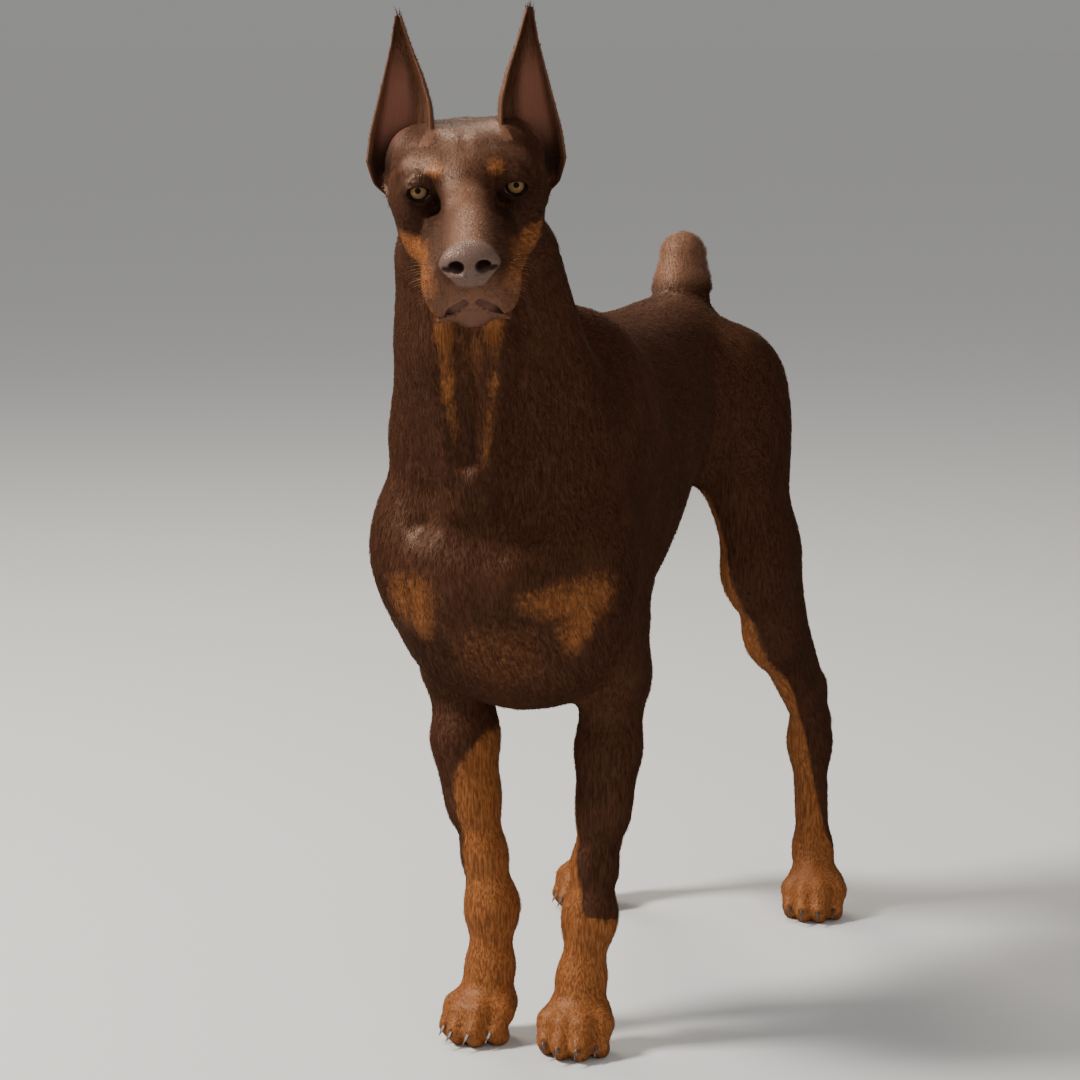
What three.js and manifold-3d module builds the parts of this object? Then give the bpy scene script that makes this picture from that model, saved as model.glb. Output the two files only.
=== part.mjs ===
// A life-size doberman pinscher, standing, with cropped ears and a docked tail.
// Millimetres, +Z up, the nose towards -Y, the dog's own left towards +X, the origin on the floor
// under the middle of the dog. The flesh is one smooth field of muscles and bones, which is meshed
// region by region and parted with thin plane cuts.
import * as THREE from "three";
import { mergeVertices } from "three/addons/utils/BufferGeometryUtils.js";
import Module from "manifold-3d";

const wasm = await Module();
wasm.setup();

// Driving dimensions of the dog.
const CROUP_HEIGHT = 692;
const BRISKET_HEIGHT = 338;
const ELBOW_HEIGHT = 352;
const RIB_HALF_WIDTH = 102;
const EYE_RADIUS = 12;
const GAP = 0.3;

// The head hangs from a frame whose origin is midway between the corneas.
const EYES_AT = [39, -383, 836];
const HEAD_YAW = 22;
const HEAD_PITCH = 17;
const HEAD_ROLL = -3.6;
const EYE_SPACING = 82;

// Small vector helpers on plain arrays.
const plus = (a, b) => [a[0] + b[0], a[1] + b[1], a[2] + b[2]];
const minus = (a, b) => [a[0] - b[0], a[1] - b[1], a[2] - b[2]];
const times = (a, k) => [a[0] * k, a[1] * k, a[2] * k];
const dot = (a, b) => a[0] * b[0] + a[1] * b[1] + a[2] * b[2];
const unit = (a) => times(a, 1 / Math.sqrt(dot(a, a)));
const cross = (a, b) => [
  a[1] * b[2] - a[2] * b[1],
  a[2] * b[0] - a[0] * b[2],
  a[0] * b[1] - a[1] * b[0],
];
const mix = (a, b, t) => a + (b - a) * t;
const clamp = (v, low, high) => Math.min(Math.max(v, low), high);
const mirrored = (p, side) => [p[0] * side, p[1], p[2]];

// Joins two distances with a rounded fillet of about k.
function smoothMin(a, b, k) {
  const h = Math.max(k - Math.abs(a - b), 0) / k;
  return Math.min(a, b) - (h * h * k) / 4;
}

// A tapered round limb from a to b. across and wide flatten or widen its section.
function limb(a, b, ra, rb, blend, across = null, wide = 1) {
  const d = minus(b, a);
  const length2 = dot(d, d);
  const u = across ? unit(across) : [1, 0, 0];
  const squeeze = 1 / wide - 1;
  const scale = Math.min(1, wide);
  const distance = (x, y, z) => {
    const px = x - a[0];
    const py = y - a[1];
    const pz = z - a[2];
    const t = clamp((px * d[0] + py * d[1] + pz * d[2]) / length2, 0, 1);
    let qx = px - t * d[0];
    let qy = py - t * d[1];
    let qz = pz - t * d[2];
    const c = (qx * u[0] + qy * u[1] + qz * u[2]) * squeeze;
    qx += c * u[0];
    qy += c * u[1];
    qz += c * u[2];
    return (Math.sqrt(qx * qx + qy * qy + qz * qz) - mix(ra, rb, t)) * scale;
  };
  return { blend, distance };
}

// An ellipsoid with its own turn, in degrees about X, then Y, then Z.
function blob(centre, radii, blend, turn = [0, 0, 0]) {
  const back = new THREE.Matrix4()
    .makeRotationFromEuler(new THREE.Euler(...turn.map(THREE.MathUtils.degToRad), "ZYX"))
    .invert().elements;
  const [a, b, c] = radii;
  const distance = (x, y, z) => {
    const px = x - centre[0];
    const py = y - centre[1];
    const pz = z - centre[2];
    const u = (px * back[0] + py * back[4] + pz * back[8]) / a;
    const v = (px * back[1] + py * back[5] + pz * back[9]) / b;
    const w = (px * back[2] + py * back[6] + pz * back[10]) / c;
    const k0 = Math.sqrt(u * u + v * v + w * w);
    const k1 = Math.sqrt((u * u) / (a * a) + (v * v) / (b * b) + (w * w) / (c * c));
    return k1 > 0 ? (k0 * (k0 - 1)) / k1 : -Math.min(a, b, c);
  };
  return { blend, distance };
}

// A groove pressed into the flesh along a limb of radius r.
const groove = (a, b, ra, rb, blend) => ({ ...limb(a, b, ra, rb, blend), carve: true });

// The same form on the dog's left and right.
const pair = (make) => [make(1), make(-1)];

// Folds a list of forms into one distance, in order.
function fieldOf(forms) {
  return (x, y, z) => {
    let d = 1e6;
    for (const form of forms) {
      const e = form.distance(x, y, z);
      if (form.carve) d = -smoothMin(-d, e, form.blend);
      else if (e < d + form.blend) d = smoothMin(d, e, form.blend);
    }
    return d;
  };
}

// A group of forms in a frame of its own, met by the rest of the body with one blend.
function placed(forms, matrix, blend, centre, reach) {
  const inverse = matrix.clone().invert().elements;
  const inner = fieldOf(forms);
  const distance = (x, y, z) => {
    const far = Math.sqrt((x - centre[0]) ** 2 + (y - centre[1]) ** 2 + (z - centre[2]) ** 2);
    if (far > reach) return far - reach + 60;
    return inner(
      inverse[0] * x + inverse[4] * y + inverse[8] * z + inverse[12],
      inverse[1] * x + inverse[5] * y + inverse[9] * z + inverse[13],
      inverse[2] * x + inverse[6] * y + inverse[10] * z + inverse[14],
    );
  };
  return { blend, distance };
}

// Trunk stations along Y: top line, underline, height of the widest point, half width.
const TRUNK = [
  [-272, 545, 440, 486, 36],
  [-244, 602, 402, 492, 66],
  [-190, 650, 362, 506, 86],
  [-130, 692, 342, 520, 94],
  [-60, 702, BRISKET_HEIGHT, 530, 99],
  [0, 698, 350, 540, RIB_HALF_WIDTH],
  [70, 693, 380, 552, 98],
  [130, 690, 418, 568, 89],
  [190, 690, 450, 588, 80],
  [250, 693, 476, 600, 74],
  [310, CROUP_HEIGHT, 500, 602, 68],
  [352, 672, 528, 600, 54],
  [382, 636, 548, 594, 32],
];
const TRUNK_STEP = 4;

// Catmull-Rom interpolation of the stations into an even table.
function trunkTable() {
  const curves = [1, 2, 3, 4].map(
    (column) =>
      new THREE.CatmullRomCurve3(TRUNK.map((row) => new THREE.Vector3(row[0], row[column], 0))),
  );
  const rows = [];
  const first = TRUNK[0][0];
  const last = TRUNK.at(-1)[0];
  for (let y = first; y <= last; y += TRUNK_STEP) {
    rows.push(
      curves.map((curve) => {
        let low = 0;
        let high = 1;
        for (let i = 0; i < 24; i++) {
          const middle = (low + high) / 2;
          if (curve.getPoint(middle).x < y) low = middle;
          else high = middle;
        }
        return curve.getPoint(low).y;
      }),
    );
  }
  return rows;
}

// The rib cage, loin and pelvis as one lofted form with egg-shaped sections.
function trunk(blend) {
  const rows = trunkTable();
  const first = TRUNK[0][0];
  const last = first + (rows.length - 1) * TRUNK_STEP;
  const [upperPower, lowerPower] = [2.2, 1.65];
  const distance = (x, y, z) => {
    const at = clamp(y, first, last - 0.01);
    const i = Math.floor((at - first) / TRUNK_STEP);
    const t = (at - first) / TRUNK_STEP - i;
    const low = rows[i];
    const high = rows[Math.min(i + 1, rows.length - 1)];
    const top = mix(low[0], high[0], t);
    const bottom = mix(low[1], high[1], t);
    const wide = mix(low[2], high[2], t);
    const half = mix(low[3], high[3], t);
    const u = Math.abs(x) / half;
    const v = z > wide ? (z - wide) / (top - wide) : (wide - z) / (wide - bottom);
    const power = z > wide ? upperPower : lowerPower;
    const rho = (u ** power + v ** power) ** (1 / power);
    const radius = Math.sqrt(x * x + (z - wide) ** 2);
    const side = rho > 1e-3 ? radius * (1 - 1 / rho) : -half;
    const past = Math.abs(y - at);
    if (past < 0.02) return side;
    return side > 0 ? Math.sqrt(side * side + past * past) : past;
  };
  return { blend, distance };
}

// Neck, from the poll down into the chest.
const NECK = [
  { at: [0, -288, 820], radius: 52, wide: 1.08 },
  { at: [0, -272, 765], radius: 58, wide: 1.06 },
  { at: [-2, -240, 690], radius: 72, wide: 1 },
  { at: [-2, -190, 610], radius: 94, wide: 0.93 },
  { at: [0, -140, 545], radius: 104, wide: 0.94 },
];

function neckForms() {
  const across = [1, 0, 0];
  const forms = [];
  for (let i = 0; i + 1 < NECK.length; i++) {
    const a = NECK[i];
    const b = NECK[i + 1];
    forms.push(limb(a.at, b.at, a.radius, b.radius, 30, across, (a.wide + b.wide) / 2));
  }
  // The crest of the nape and the two throat muscles that meet in a V on the breastbone.
  forms.push(limb([-2, -262, 830], [-2, -202, 750], 30, 28, 34));
  forms.push(limb([-2, -202, 750], [0, -126, 692], 28, 26, 44));
  for (const side of [1, -1]) {
    forms.push(limb([20 + side * 22, -330, 762], [10 + side * 20, -308, 690], 15, 17, 22));
    forms.push(limb([10 + side * 20, -308, 690], [side * 9, -276, 545], 17, 15, 24));
    forms.push(limb([side * 44, -254, 770], [side * 70, -200, 610], 22, 26, 40));
  }
  forms.push(groove([20, -350, 740], [4, -304, 590], 7, 8, 16));
  return forms;
}

// Shoulder blade, upper arm and breast muscles of one side.
const SHOULDER_SET = { 1: 0.92, "-1": 0.99 };
function forequarterForms(side) {
  const at = ([x, y, z]) => [x * side * SHOULDER_SET[side], y, z];
  const outward = [1, 0, 0];
  return [
    limb(at([56, -112, 650]), at([78, -186, 520]), 56, 56, 44, outward, 0.68),
    limb(at([64, -74, 600]), at([80, -84, 420]), 58, 44, 44, outward, 0.6),
    limb(at([80, -196, 490]), at([84, -116, 376]), 44, 37, 40, outward, 0.84),
    blob(at([76, -192, 478]), [38, 48, 62], 44),
    limb(at([26, -238, 480]), at([50, -182, 398]), 42, 37, 44),
    limb(at([30, -226, 440]), at([22, -146, 370]), 30, 28, 40),
  ];
}

// Fore leg joints of each side, from elbow to foot, as the photo's stance has them.
const FORE = {
  1: { elbow: [75, -96], mid: [67, -105], wrist: [56, -112], pastern: [51, -122], foot: [52, -134] },
  "-1": {
    elbow: [-87, -94],
    mid: [-67, -103],
    wrist: [-46, -109],
    pastern: [-46, -115],
    foot: [-48, -124],
  },
};
const WRIST_HEIGHT = 128;
const FORE_SPLAY = 8;

function foreLegForms(side) {
  const joint = FORE[side];
  const elbow = [...joint.elbow, ELBOW_HEIGHT];
  const upper = [mix(joint.elbow[0], joint.mid[0], 0.55), joint.mid[1] + 4, 290];
  const mid = [...joint.mid, 235];
  const lower = [mix(joint.mid[0], joint.wrist[0], 0.6), joint.wrist[1] + 1, 178];
  const wrist = [...joint.wrist, WRIST_HEIGHT];
  const pastern = [...joint.pastern, 68];
  const foot = [...joint.foot, 36];
  const across = [1, 0, 0];
  return [
    blob(plus(elbow, [side * 2, 26, 6]), [18, 24, 26], 22),
    limb(elbow, upper, 35, 33, 26, across, 0.82),
    limb(upper, mid, 33, 25, 24, across, 0.82),
    limb(mid, lower, 25, 20, 22, across, 0.92),
    limb(plus(upper, [side * 4, -12, 0]), plus(mid, [side * 3, -6, -10]), 21, 16, 20),
    limb(lower, wrist, 20.5, 23, 20),
    blob(plus(wrist, [0, -2, -2]), [25, 23, 27], 16),
    blob(plus(wrist, [0, 24, -12]), [10, 10, 13], 12),
    limb(wrist, pastern, 22, 21, 18, across, 1.08),
    limb(pastern, foot, 21.5, 25, 18, across, 1.12),
  ];
}

// Hind leg joints of each side. The right foot stands a little further forward.
const HIND = {
  1: {
    hip: [70, 306, 602],
    knee: [103, 272, 396],
    hock: [114, 446, 196],
    pastern: [119, 450, 70],
    foot: [128, 430],
  },
  "-1": {
    hip: [-70, 300, 602],
    knee: [-100, 248, 394],
    hock: [-110, 404, 194],
    pastern: [-114, 406, 70],
    foot: [-120, 386],
  },
};
const HIND_SPLAY = 10;

function hindLegForms(side) {
  const { hip, knee, hock, pastern, foot } = HIND[side];
  const across = [1, 0, 0];
  const seat = [side * 60, 366, 582];
  const calf = plus(knee, times(minus(hock, knee), 0.32));
  return [
    blob(plus(hip, [0, 4, -36]), [46, 68, 76], 40),
    limb(plus(hip, [0, 0, -8]), plus(knee, [-side * 6, 16, 40]), 56, 44, 40, across, 0.66),
    limb(seat, plus(knee, [-side * 3, 68, 24]), 44, 28, 40, across, 0.74),
    limb(plus(hip, [-side * 6, -46, -30]), plus(knee, [0, 2, 34]), 34, 26, 34, across, 0.8),
    blob(plus(knee, [0, -2, 6]), [23, 25, 30], 26),
    limb(plus(knee, [0, 10, 4]), calf, 30, 28, 34, across, 0.86),
    limb(calf, plus(hock, [0, -2, 24]), 28, 19, 34, across, 0.88),
    limb(plus(knee, [0, 62, 24]), plus(hock, [0, 22, 56]), 29, 11, 40, across, 0.84),
    limb(plus(hock, [0, 22, 60]), plus(hock, [0, 33, 16]), 9, 13, 14),
    blob(plus(hock, [0, 2, 0]), [24, 27, 30], 18),
    limb(plus(hock, [0, 30, 14]), plus(hock, [0, 12, -18]), 13, 15, 16),
    limb(plus(hock, [0, 4, -10]), pastern, 20, 19, 18, across, 1),
    limb(pastern, [foot[0], foot[1], 36], 18.5, 24, 18, across, 1.12),
  ];
}

// One paw in its own frame: origin on the floor under the middle of the foot.
const TOES = [
  { x: -26, back: 15 },
  { x: -9.5, back: 0 },
  { x: 9.5, back: 0 },
  { x: 26, back: 15 },
];

function pawForms(size) {
  const forms = [
    blob([0, 2, 30], [27 * size, 26 * size, 24], 12),
    blob([0, 5, 9], [24 * size, 19 * size, 13], 8),
  ];
  for (const { x, back } of TOES) {
    const u = x * size;
    forms.push(limb([u * 0.8, -4 + back * 0.6, 36], [u, -27 + back, 31], 13, 13.5, 9));
    forms.push(limb([u, -27 + back, 31], [u * 1.05, -42 + back, 15], 13, 10.5, 6));
    forms.push(blob([u * 1.03, -32 + back, 8], [10.5, 14, 11], 5));
  }
  return forms;
}

function pawMatrix(foot, splay) {
  return new THREE.Matrix4()
    .makeTranslation(foot[0], foot[1], 0)
    .multiply(new THREE.Matrix4().makeRotationZ(THREE.MathUtils.degToRad(splay)));
}

const pawPlaces = [];
for (const side of [1, -1]) {
  pawPlaces.push({ name: "fore_paw", side, foot: FORE[side].foot, splay: side * FORE_SPLAY, size: 0.94 });
  pawPlaces.push({
    name: "hind_paw",
    side,
    foot: HIND[side].foot,
    splay: side * HIND_SPLAY,
    size: 0.88,
  });
}

// The head in its own frame: bridge of the muzzle level, nose towards -Y.
const EYE_AT = [EYE_SPACING / 2, 7, -1];

function headForms() {
  const forms = [
    blob([0, 72, -6], [56, 66, 40], 20),
    blob([0, 44, 8], [46, 56, 26], 18),
    limb([0, 30, 13], [0, -24, -6], 23, 17, 16, [1, 0, 0], 1.15),
    limb([0, -14, -15], [0, -116, -20], 22, 17, 14, [1, 0, 0], 1.26),
    limb([0, -20, -40], [0, -112, -42], 34, 27, 16, [1, 0, 0], 0.86),
    limb([0, 10, -60], [0, -106, -66], 24, 14, 12),
    blob([0, -112, -69], [17, 15, 14], 8),
    blob([0, 50, -48], [38, 56, 34], 26),
    blob([0, -125, -19], [25, 16, 17.5], 7),
  ];
  for (const side of [1, -1]) {
    const at = (p) => mirrored(p, side);
    forms.push(
      blob(at([36, 64, 4]), [25, 48, 32], 20),
      blob(at([46, 44, -22]), [23, 44, 34], 22),
      limb(at([24, 15, 13]), at([47, 27, 9]), 11, 10, 14),
      limb(at([18, -22, -34]), at([20, -106, -42]), 24, 22, 14),
      blob(at([24, -90, -57]), [16, 38, 24], 12),
      limb(at([38, 48, -56]), at([15, -78, -66]), 21, 13, 18),
      blob(at([52, 72, 2]), [18, 20, 28], 14),
    );
    forms.push({ ...blob(at([29, -20, -12]), [4, 11, 4], 14), carve: true });
    forms.push(blob(mirrored(EYE_AT, side), [16.8, 15.2, 15.4], 5));
  }
  return forms;
}

const headMatrix = new THREE.Matrix4()
  .makeTranslation(...EYES_AT)
  .multiply(
    new THREE.Matrix4().makeRotationFromEuler(
      new THREE.Euler(
        THREE.MathUtils.degToRad(HEAD_PITCH),
        THREE.MathUtils.degToRad(HEAD_ROLL),
        THREE.MathUtils.degToRad(HEAD_YAW),
        "ZXY",
      ),
    ),
  );
const inWorld = (p, matrix) => new THREE.Vector3(...p).applyMatrix4(matrix).toArray();
const turned = (p, matrix) => new THREE.Vector3(...p).transformDirection(matrix).toArray();

// Docked tail.
const TAIL = { root: [-2, 332, 672], base: [-4, 346, 698], tip: [-5, 352, 732], radius: 27, end: 24 };

const body = fieldOf([
  trunk(40),
  ...neckForms(),
  ...pair(forequarterForms).flat(),
  ...pair(foreLegForms).flat(),
  ...pair(hindLegForms).flat(),
  limb(TAIL.root, TAIL.base, 34, TAIL.radius, 20),
  limb(TAIL.base, TAIL.tip, TAIL.radius, TAIL.end, 14),
  groove([0, -282, 470], [0, -210, 345], 5, 6, 14),
  placed(headForms(), headMatrix, 34, inWorld([0, 0, -10], headMatrix), 240),
  ...pawPlaces.map(({ foot, splay, size }) =>
    placed(pawForms(size), pawMatrix(foot, splay), 12, [foot[0], foot[1], 20], 110),
  ),
]);

// Even steps between two bounds.
function span(low, high, step) {
  const count = Math.max(1, Math.round((high - low) / step));
  return Array.from({ length: count + 1 }, (_, i) => mix(low, high, i / count));
}

// Steps that change from band to band: pairs of a bound and the step up to it.
function bands(start, ...parts) {
  const lines = [start];
  for (const [end, step] of parts) lines.push(...span(lines.at(-1), end, step).slice(1));
  return lines;
}

// Meshes the zero level of a field on a grid of unequal steps, one vertex to a cell.
function surfaceOf(field, xs, ys, zs) {
  const [nx, ny, nz] = [xs.length, ys.length, zs.length];
  const values = new Float32Array(nx * ny * nz);
  const spot = (i, j, k) => (k * ny + j) * nx + i;
  for (let k = 0; k < nz; k++)
    for (let j = 0; j < ny; j++)
      for (let i = 0; i < nx; i++) {
        const rim = i === 0 || j === 0 || k === 0 || i === nx - 1 || j === ny - 1 || k === nz - 1;
        values[spot(i, j, k)] = rim ? 1 : field(xs[i], ys[j], zs[k]) || 1e-6;
      }
  untangle(values, [nx, ny, nz], spot);
  const cells = new Int32Array(nx * ny * nz).fill(-1);
  const points = [];
  const corner = [0, 1, 2, 3, 4, 5, 6, 7].map((c) => [c & 1, (c >> 1) & 1, c >> 2]);
  for (let k = 0; k + 1 < nz; k++)
    for (let j = 0; j + 1 < ny; j++)
      for (let i = 0; i + 1 < nx; i++) {
        let sum = [0, 0, 0];
        let count = 0;
        for (let c = 0; c < 8; c++)
          for (const axis of [0, 1, 2]) {
            if (corner[c][axis]) continue;
            const o = corner[c | (1 << axis)];
            const [ci, cj, ck] = corner[c];
            const a = values[spot(i + ci, j + cj, k + ck)];
            const b = values[spot(i + o[0], j + o[1], k + o[2])];
            if (a < 0 === b < 0) continue;
            const t = a / (a - b);
            sum = plus(sum, [
              mix(xs[i + ci], xs[i + o[0]], t),
              mix(ys[j + cj], ys[j + o[1]], t),
              mix(zs[k + ck], zs[k + o[2]], t),
            ]);
            count++;
          }
        if (!count) continue;
        cells[spot(i, j, k)] = points.length;
        points.push(settle(field, times(sum, 1 / count), i, j, k, xs, ys, zs));
      }
  const triangles = [];
  const quad = (a, b, c, d, flip) => {
    const q = flip ? [d, c, b, a] : [a, b, c, d];
    const p = q.map((n) => points[n]);
    const first = minus(p[0], p[2]);
    const second = minus(p[1], p[3]);
    if (dot(first, first) <= dot(second, second)) triangles.push(q[0], q[1], q[2], q[0], q[2], q[3]);
    else triangles.push(q[0], q[1], q[3], q[1], q[2], q[3]);
  };
  for (let k = 0; k + 1 < nz; k++)
    for (let j = 0; j + 1 < ny; j++)
      for (let i = 0; i + 1 < nx; i++) {
        const inside = values[spot(i, j, k)] < 0;
        const cell = (a, b, c) => cells[spot(i - a, j - b, k - c)];
        if (j && k && inside !== values[spot(i + 1, j, k)] < 0)
          quad(cell(0, 1, 1), cell(0, 0, 1), cell(0, 0, 0), cell(0, 1, 0), !inside);
        if (i && k && inside !== values[spot(i, j + 1, k)] < 0)
          quad(cell(1, 0, 1), cell(1, 0, 0), cell(0, 0, 0), cell(0, 0, 1), !inside);
        if (i && j && inside !== values[spot(i, j, k + 1)] < 0)
          quad(cell(1, 1, 0), cell(0, 1, 0), cell(0, 0, 0), cell(1, 0, 0), !inside);
      }
  return { points, triangles };
}

// The corner sets that would pinch the surface to a line or a point: the diagonals of a square,
// and the opposite corners of a cube.
const SQUARES = [
  [0, 1, 3, 2],
  [4, 5, 7, 6],
  [0, 1, 5, 4],
  [2, 3, 7, 6],
  [0, 2, 6, 4],
  [1, 3, 7, 5],
];

// Fills such pinches, by making an outside corner an inside one, until none is left.
function untangle(values, [nx, ny, nz], spot) {
  for (let pass = 0, changed = true; changed && pass < 12; pass++) {
    changed = false;
    for (let k = 0; k + 1 < nz; k++)
      for (let j = 0; j + 1 < ny; j++)
        for (let i = 0; i + 1 < nx; i++) {
          const at = (c) => spot(i + (c & 1), j + ((c >> 1) & 1), k + (c >> 2));
          const inside = (c) => values[at(c)] < 0;
          const count = [0, 1, 2, 3, 4, 5, 6, 7].filter(inside).length;
          if (count < 2 || count > 6) continue;
          const fill = (corners) => {
            const outer = corners.filter((c) => !inside(c));
            const nearest = outer.reduce((a, b) => (values[at(a)] < values[at(b)] ? a : b));
            values[at(nearest)] = -0.5;
            changed = true;
          };
          for (const s of SQUARES) {
            const [a, b, c, d] = s.map(inside);
            if (a === c && b === d && a !== b) fill(s);
          }
          for (const c of [0, 1, 2, 3]) {
            if (inside(c) !== inside(7 - c)) continue;
            const others = [0, 1, 2, 3, 4, 5, 6, 7].filter((o) => o !== c && o !== 7 - c);
            if (others.every((o) => inside(o) !== inside(c))) fill([c, 7 - c, ...others]);
          }
        }
  }
}

// Moves a vertex onto the true surface, by at most half a cell, away from the grid's rim.
function settle(field, start, i, j, k, xs, ys, zs) {
  const rim = [
    [i, xs.length],
    [j, ys.length],
    [k, zs.length],
  ].some(([n, size]) => n < 1 || n > size - 3);
  if (rim) return start;
  const most = 0.45 * Math.min(xs[i + 1] - xs[i], ys[j + 1] - ys[j], zs[k + 1] - zs[k]);
  let p = start;
  for (let turn = 0; turn < 3; turn++) {
    const e = 0.5;
    const d = field(...p);
    const slope = [
      field(p[0] + e, p[1], p[2]) - field(p[0] - e, p[1], p[2]),
      field(p[0], p[1] + e, p[2]) - field(p[0], p[1] - e, p[2]),
      field(p[0], p[1], p[2] + e) - field(p[0], p[1], p[2] - e),
    ].map((s) => s / (2 * e));
    p = minus(p, times(slope, d / Math.max(dot(slope, slope), 0.2)));
  }
  const moved = minus(p, start);
  const length = Math.sqrt(dot(moved, moved));
  return length > most ? plus(start, times(moved, most / length)) : p;
}

// A manifold solid from a list of points and triangles.
function solidFrom({ points, triangles }) {
  const mesh = new wasm.Mesh({
    numProp: 3,
    vertProperties: new Float32Array(points.flat()),
    triVerts: new Uint32Array(triangles),
  });
  return new wasm.Manifold(mesh);
}

// The same from a three.js geometry under a matrix.
function solidOf(geometry, matrix = new THREE.Matrix4()) {
  const bare = geometry.clone().applyMatrix4(matrix);
  bare.deleteAttribute("normal");
  bare.deleteAttribute("uv");
  const merged = mergeVertices(bare, 1e-4);
  return new wasm.Manifold(
    new wasm.Mesh({
      numProp: 3,
      vertProperties: new Float32Array(merged.attributes.position.array),
      triVerts: new Uint32Array(merged.index.array),
    }),
  );
}

// Snaps corners to a fine grid, so that cuts leave no slivers. Returns null if that opens the surface.
function snapped(mesh, grain) {
  const ids = new Map();
  const corners = [];
  const idOf = Array.from({ length: mesh.vertProperties.length / 3 }, (_, i) => {
    const cell = [0, 1, 2].map((a) => Math.round(mesh.vertProperties[3 * i + a] / grain));
    const key = cell.join();
    if (!ids.has(key)) {
      ids.set(key, corners.length);
      corners.push(cell.map((c) => c * grain));
    }
    return ids.get(key);
  });
  const faces = new Map();
  for (let i = 0; i < mesh.triVerts.length; i += 3) {
    const face = [0, 1, 2].map((k) => idOf[mesh.triVerts[i + k]]);
    if (new Set(face).size < 3) continue;
    const key = [...face].sort((a, b) => a - b).join();
    if (faces.has(key)) faces.delete(key);
    else faces.set(key, face);
  }
  const edges = new Set();
  for (const face of faces.values())
    for (const k of [0, 1, 2]) {
      const edge = `${face[k]},${face[(k + 1) % 3]}`;
      if (edges.has(edge)) return null;
      edges.add(edge);
    }
  for (const edge of edges) if (!edges.has(edge.split(",").reverse().join())) return null;
  return { corners, faces: [...faces.values()] };
}

function geometryOf(solid) {
  const mesh = solid.getMesh();
  const clean = [0.02, 0.013, 0.03, 0.009, 0.05, 0.005].map((g) => snapped(mesh, g)).find(Boolean);
  if (!clean) throw new Error("a solid has no clean surface");
  return new THREE.BufferGeometry()
    .setAttribute("position", new THREE.BufferAttribute(new Float32Array(clean.corners.flat()), 3))
    .setIndex(clean.faces.flat())
    .toNonIndexed();
}

const largest = (solid) => {
  const bodies = solid.decompose();
  return bodies.reduce((a, b) => (a.volume() > b.volume() ? a : b));
};

// A slab far larger than the dog whose one face is the plane, on the side the normal points to.
const REACH = 1600;
function beyond(plane, shift) {
  const towards = new THREE.Quaternion().setFromUnitVectors(
    new THREE.Vector3(0, 0, 1),
    new THREE.Vector3(...unit(plane.normal)),
  );
  const middle = plus(plane.at, times(unit(plane.normal), REACH / 2 + shift));
  const matrix = new THREE.Matrix4().compose(
    new THREE.Vector3(...middle),
    towards,
    new THREE.Vector3(1, 1, 1),
  );
  return solidOf(new THREE.BoxGeometry(REACH, REACH, REACH), matrix);
}

// Keeps the side of a plane that its normal points away from, or towards, short of it by half a gap.
const keepBehind = (solid, plane) => solid.subtract(beyond(plane, -GAP / 2));
const opposite = (plane) => ({ at: plane.at, normal: times(plane.normal, -1) });
const keepAhead = (solid, plane) => keepBehind(solid, opposite(plane));

// Where the body is parted. Each normal points out of the torso, towards the limb's end.
const CUTS = {
  neck: { at: [0, -196, 640], normal: [0.02, -0.46, 0.89] },
  head: { at: inWorld([0, 60, -30], headMatrix), normal: turned([0, -0.68, 0.73], headMatrix) },
  nose: { at: inWorld([0, -127, -16], headMatrix), normal: turned([0, -0.94, 0.34], headMatrix) },
  tail: { at: [0, 341, 694], normal: [0, 0.3, 0.95] },
};
const foreCut = (side) => ({ at: [side * 86, -76, 346], normal: [side * 0.42, 0, -0.91] });
const wristCut = (side) => ({ at: [...FORE[side].pastern, 74], normal: [0, -0.1, -1] });
const thighCut = (side) => ({ at: [side * 60, 312, 512], normal: [side * 0.46, -0.3, -0.83] });
const kneeCut = (side) => ({ at: plus(HIND[side].knee, [0, 22, -34]), normal: [0, 0.46, -0.89] });
const hockCut = (side) => ({ at: plus(HIND[side].hock, [0, 6, 34]), normal: [0, 0.35, -0.94] });
const rearPasternCut = (side) => ({ at: HIND[side].pastern, normal: [0, -0.1, -1] });

// Grid steps of each region, finest where the forms are small.
const flesh = new THREE.MeshStandardMaterial({ color: 0x4a2a1c, roughness: 0.55, metalness: 0 });
const rust = new THREE.MeshStandardMaterial({ color: 0xa35f2e, roughness: 0.6, metalness: 0 });
const leather = new THREE.MeshStandardMaterial({ color: 0x6b4a3e, roughness: 0.45, metalness: 0 });
const amber = new THREE.MeshStandardMaterial({ color: 0xa08050, roughness: 0.1, metalness: 0 });

const dog = new THREE.Group();
function addNode(name, solid, material) {
  const mesh = new THREE.Mesh(geometryOf(largest(solid)), material);
  mesh.name = name;
  dog.add(mesh);
}

const nameOf = (part, side) => `${part}_${side > 0 ? "left" : "right"}`;

// Meshes a box of the body: low and high corner, and the steps along X, Y and Z.
function meshed(low, high, steps) {
  const [xs, ys, zs] = [0, 1, 2].map((a) => span(low[a], high[a], steps[a]));
  return solidFrom(surfaceOf(body, xs, ys, zs));
}

// A leg's own corner of space: a block whose top face is the cut that parts it from the torso.
function legBlock(cut, low, high, shift) {
  const size = minus(high, low);
  const box = solidOf(
    new THREE.BoxGeometry(...size),
    new THREE.Matrix4().makeTranslation(...plus(low, times(size, 0.5))),
  );
  return box.subtract(beyond(opposite(cut), shift));
}

function foreBlock(side, shift) {
  const block = (inner, top) => {
    const [near, far] = [side * (inner - shift), side * 170];
    const low = [Math.min(near, far), -230, -20];
    const high = [Math.max(near, far), -14 + shift, top];
    return legBlock(foreCut(side), low, high, shift);
  };
  return block(40, 420).add(block(1, 318));
}

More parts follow.
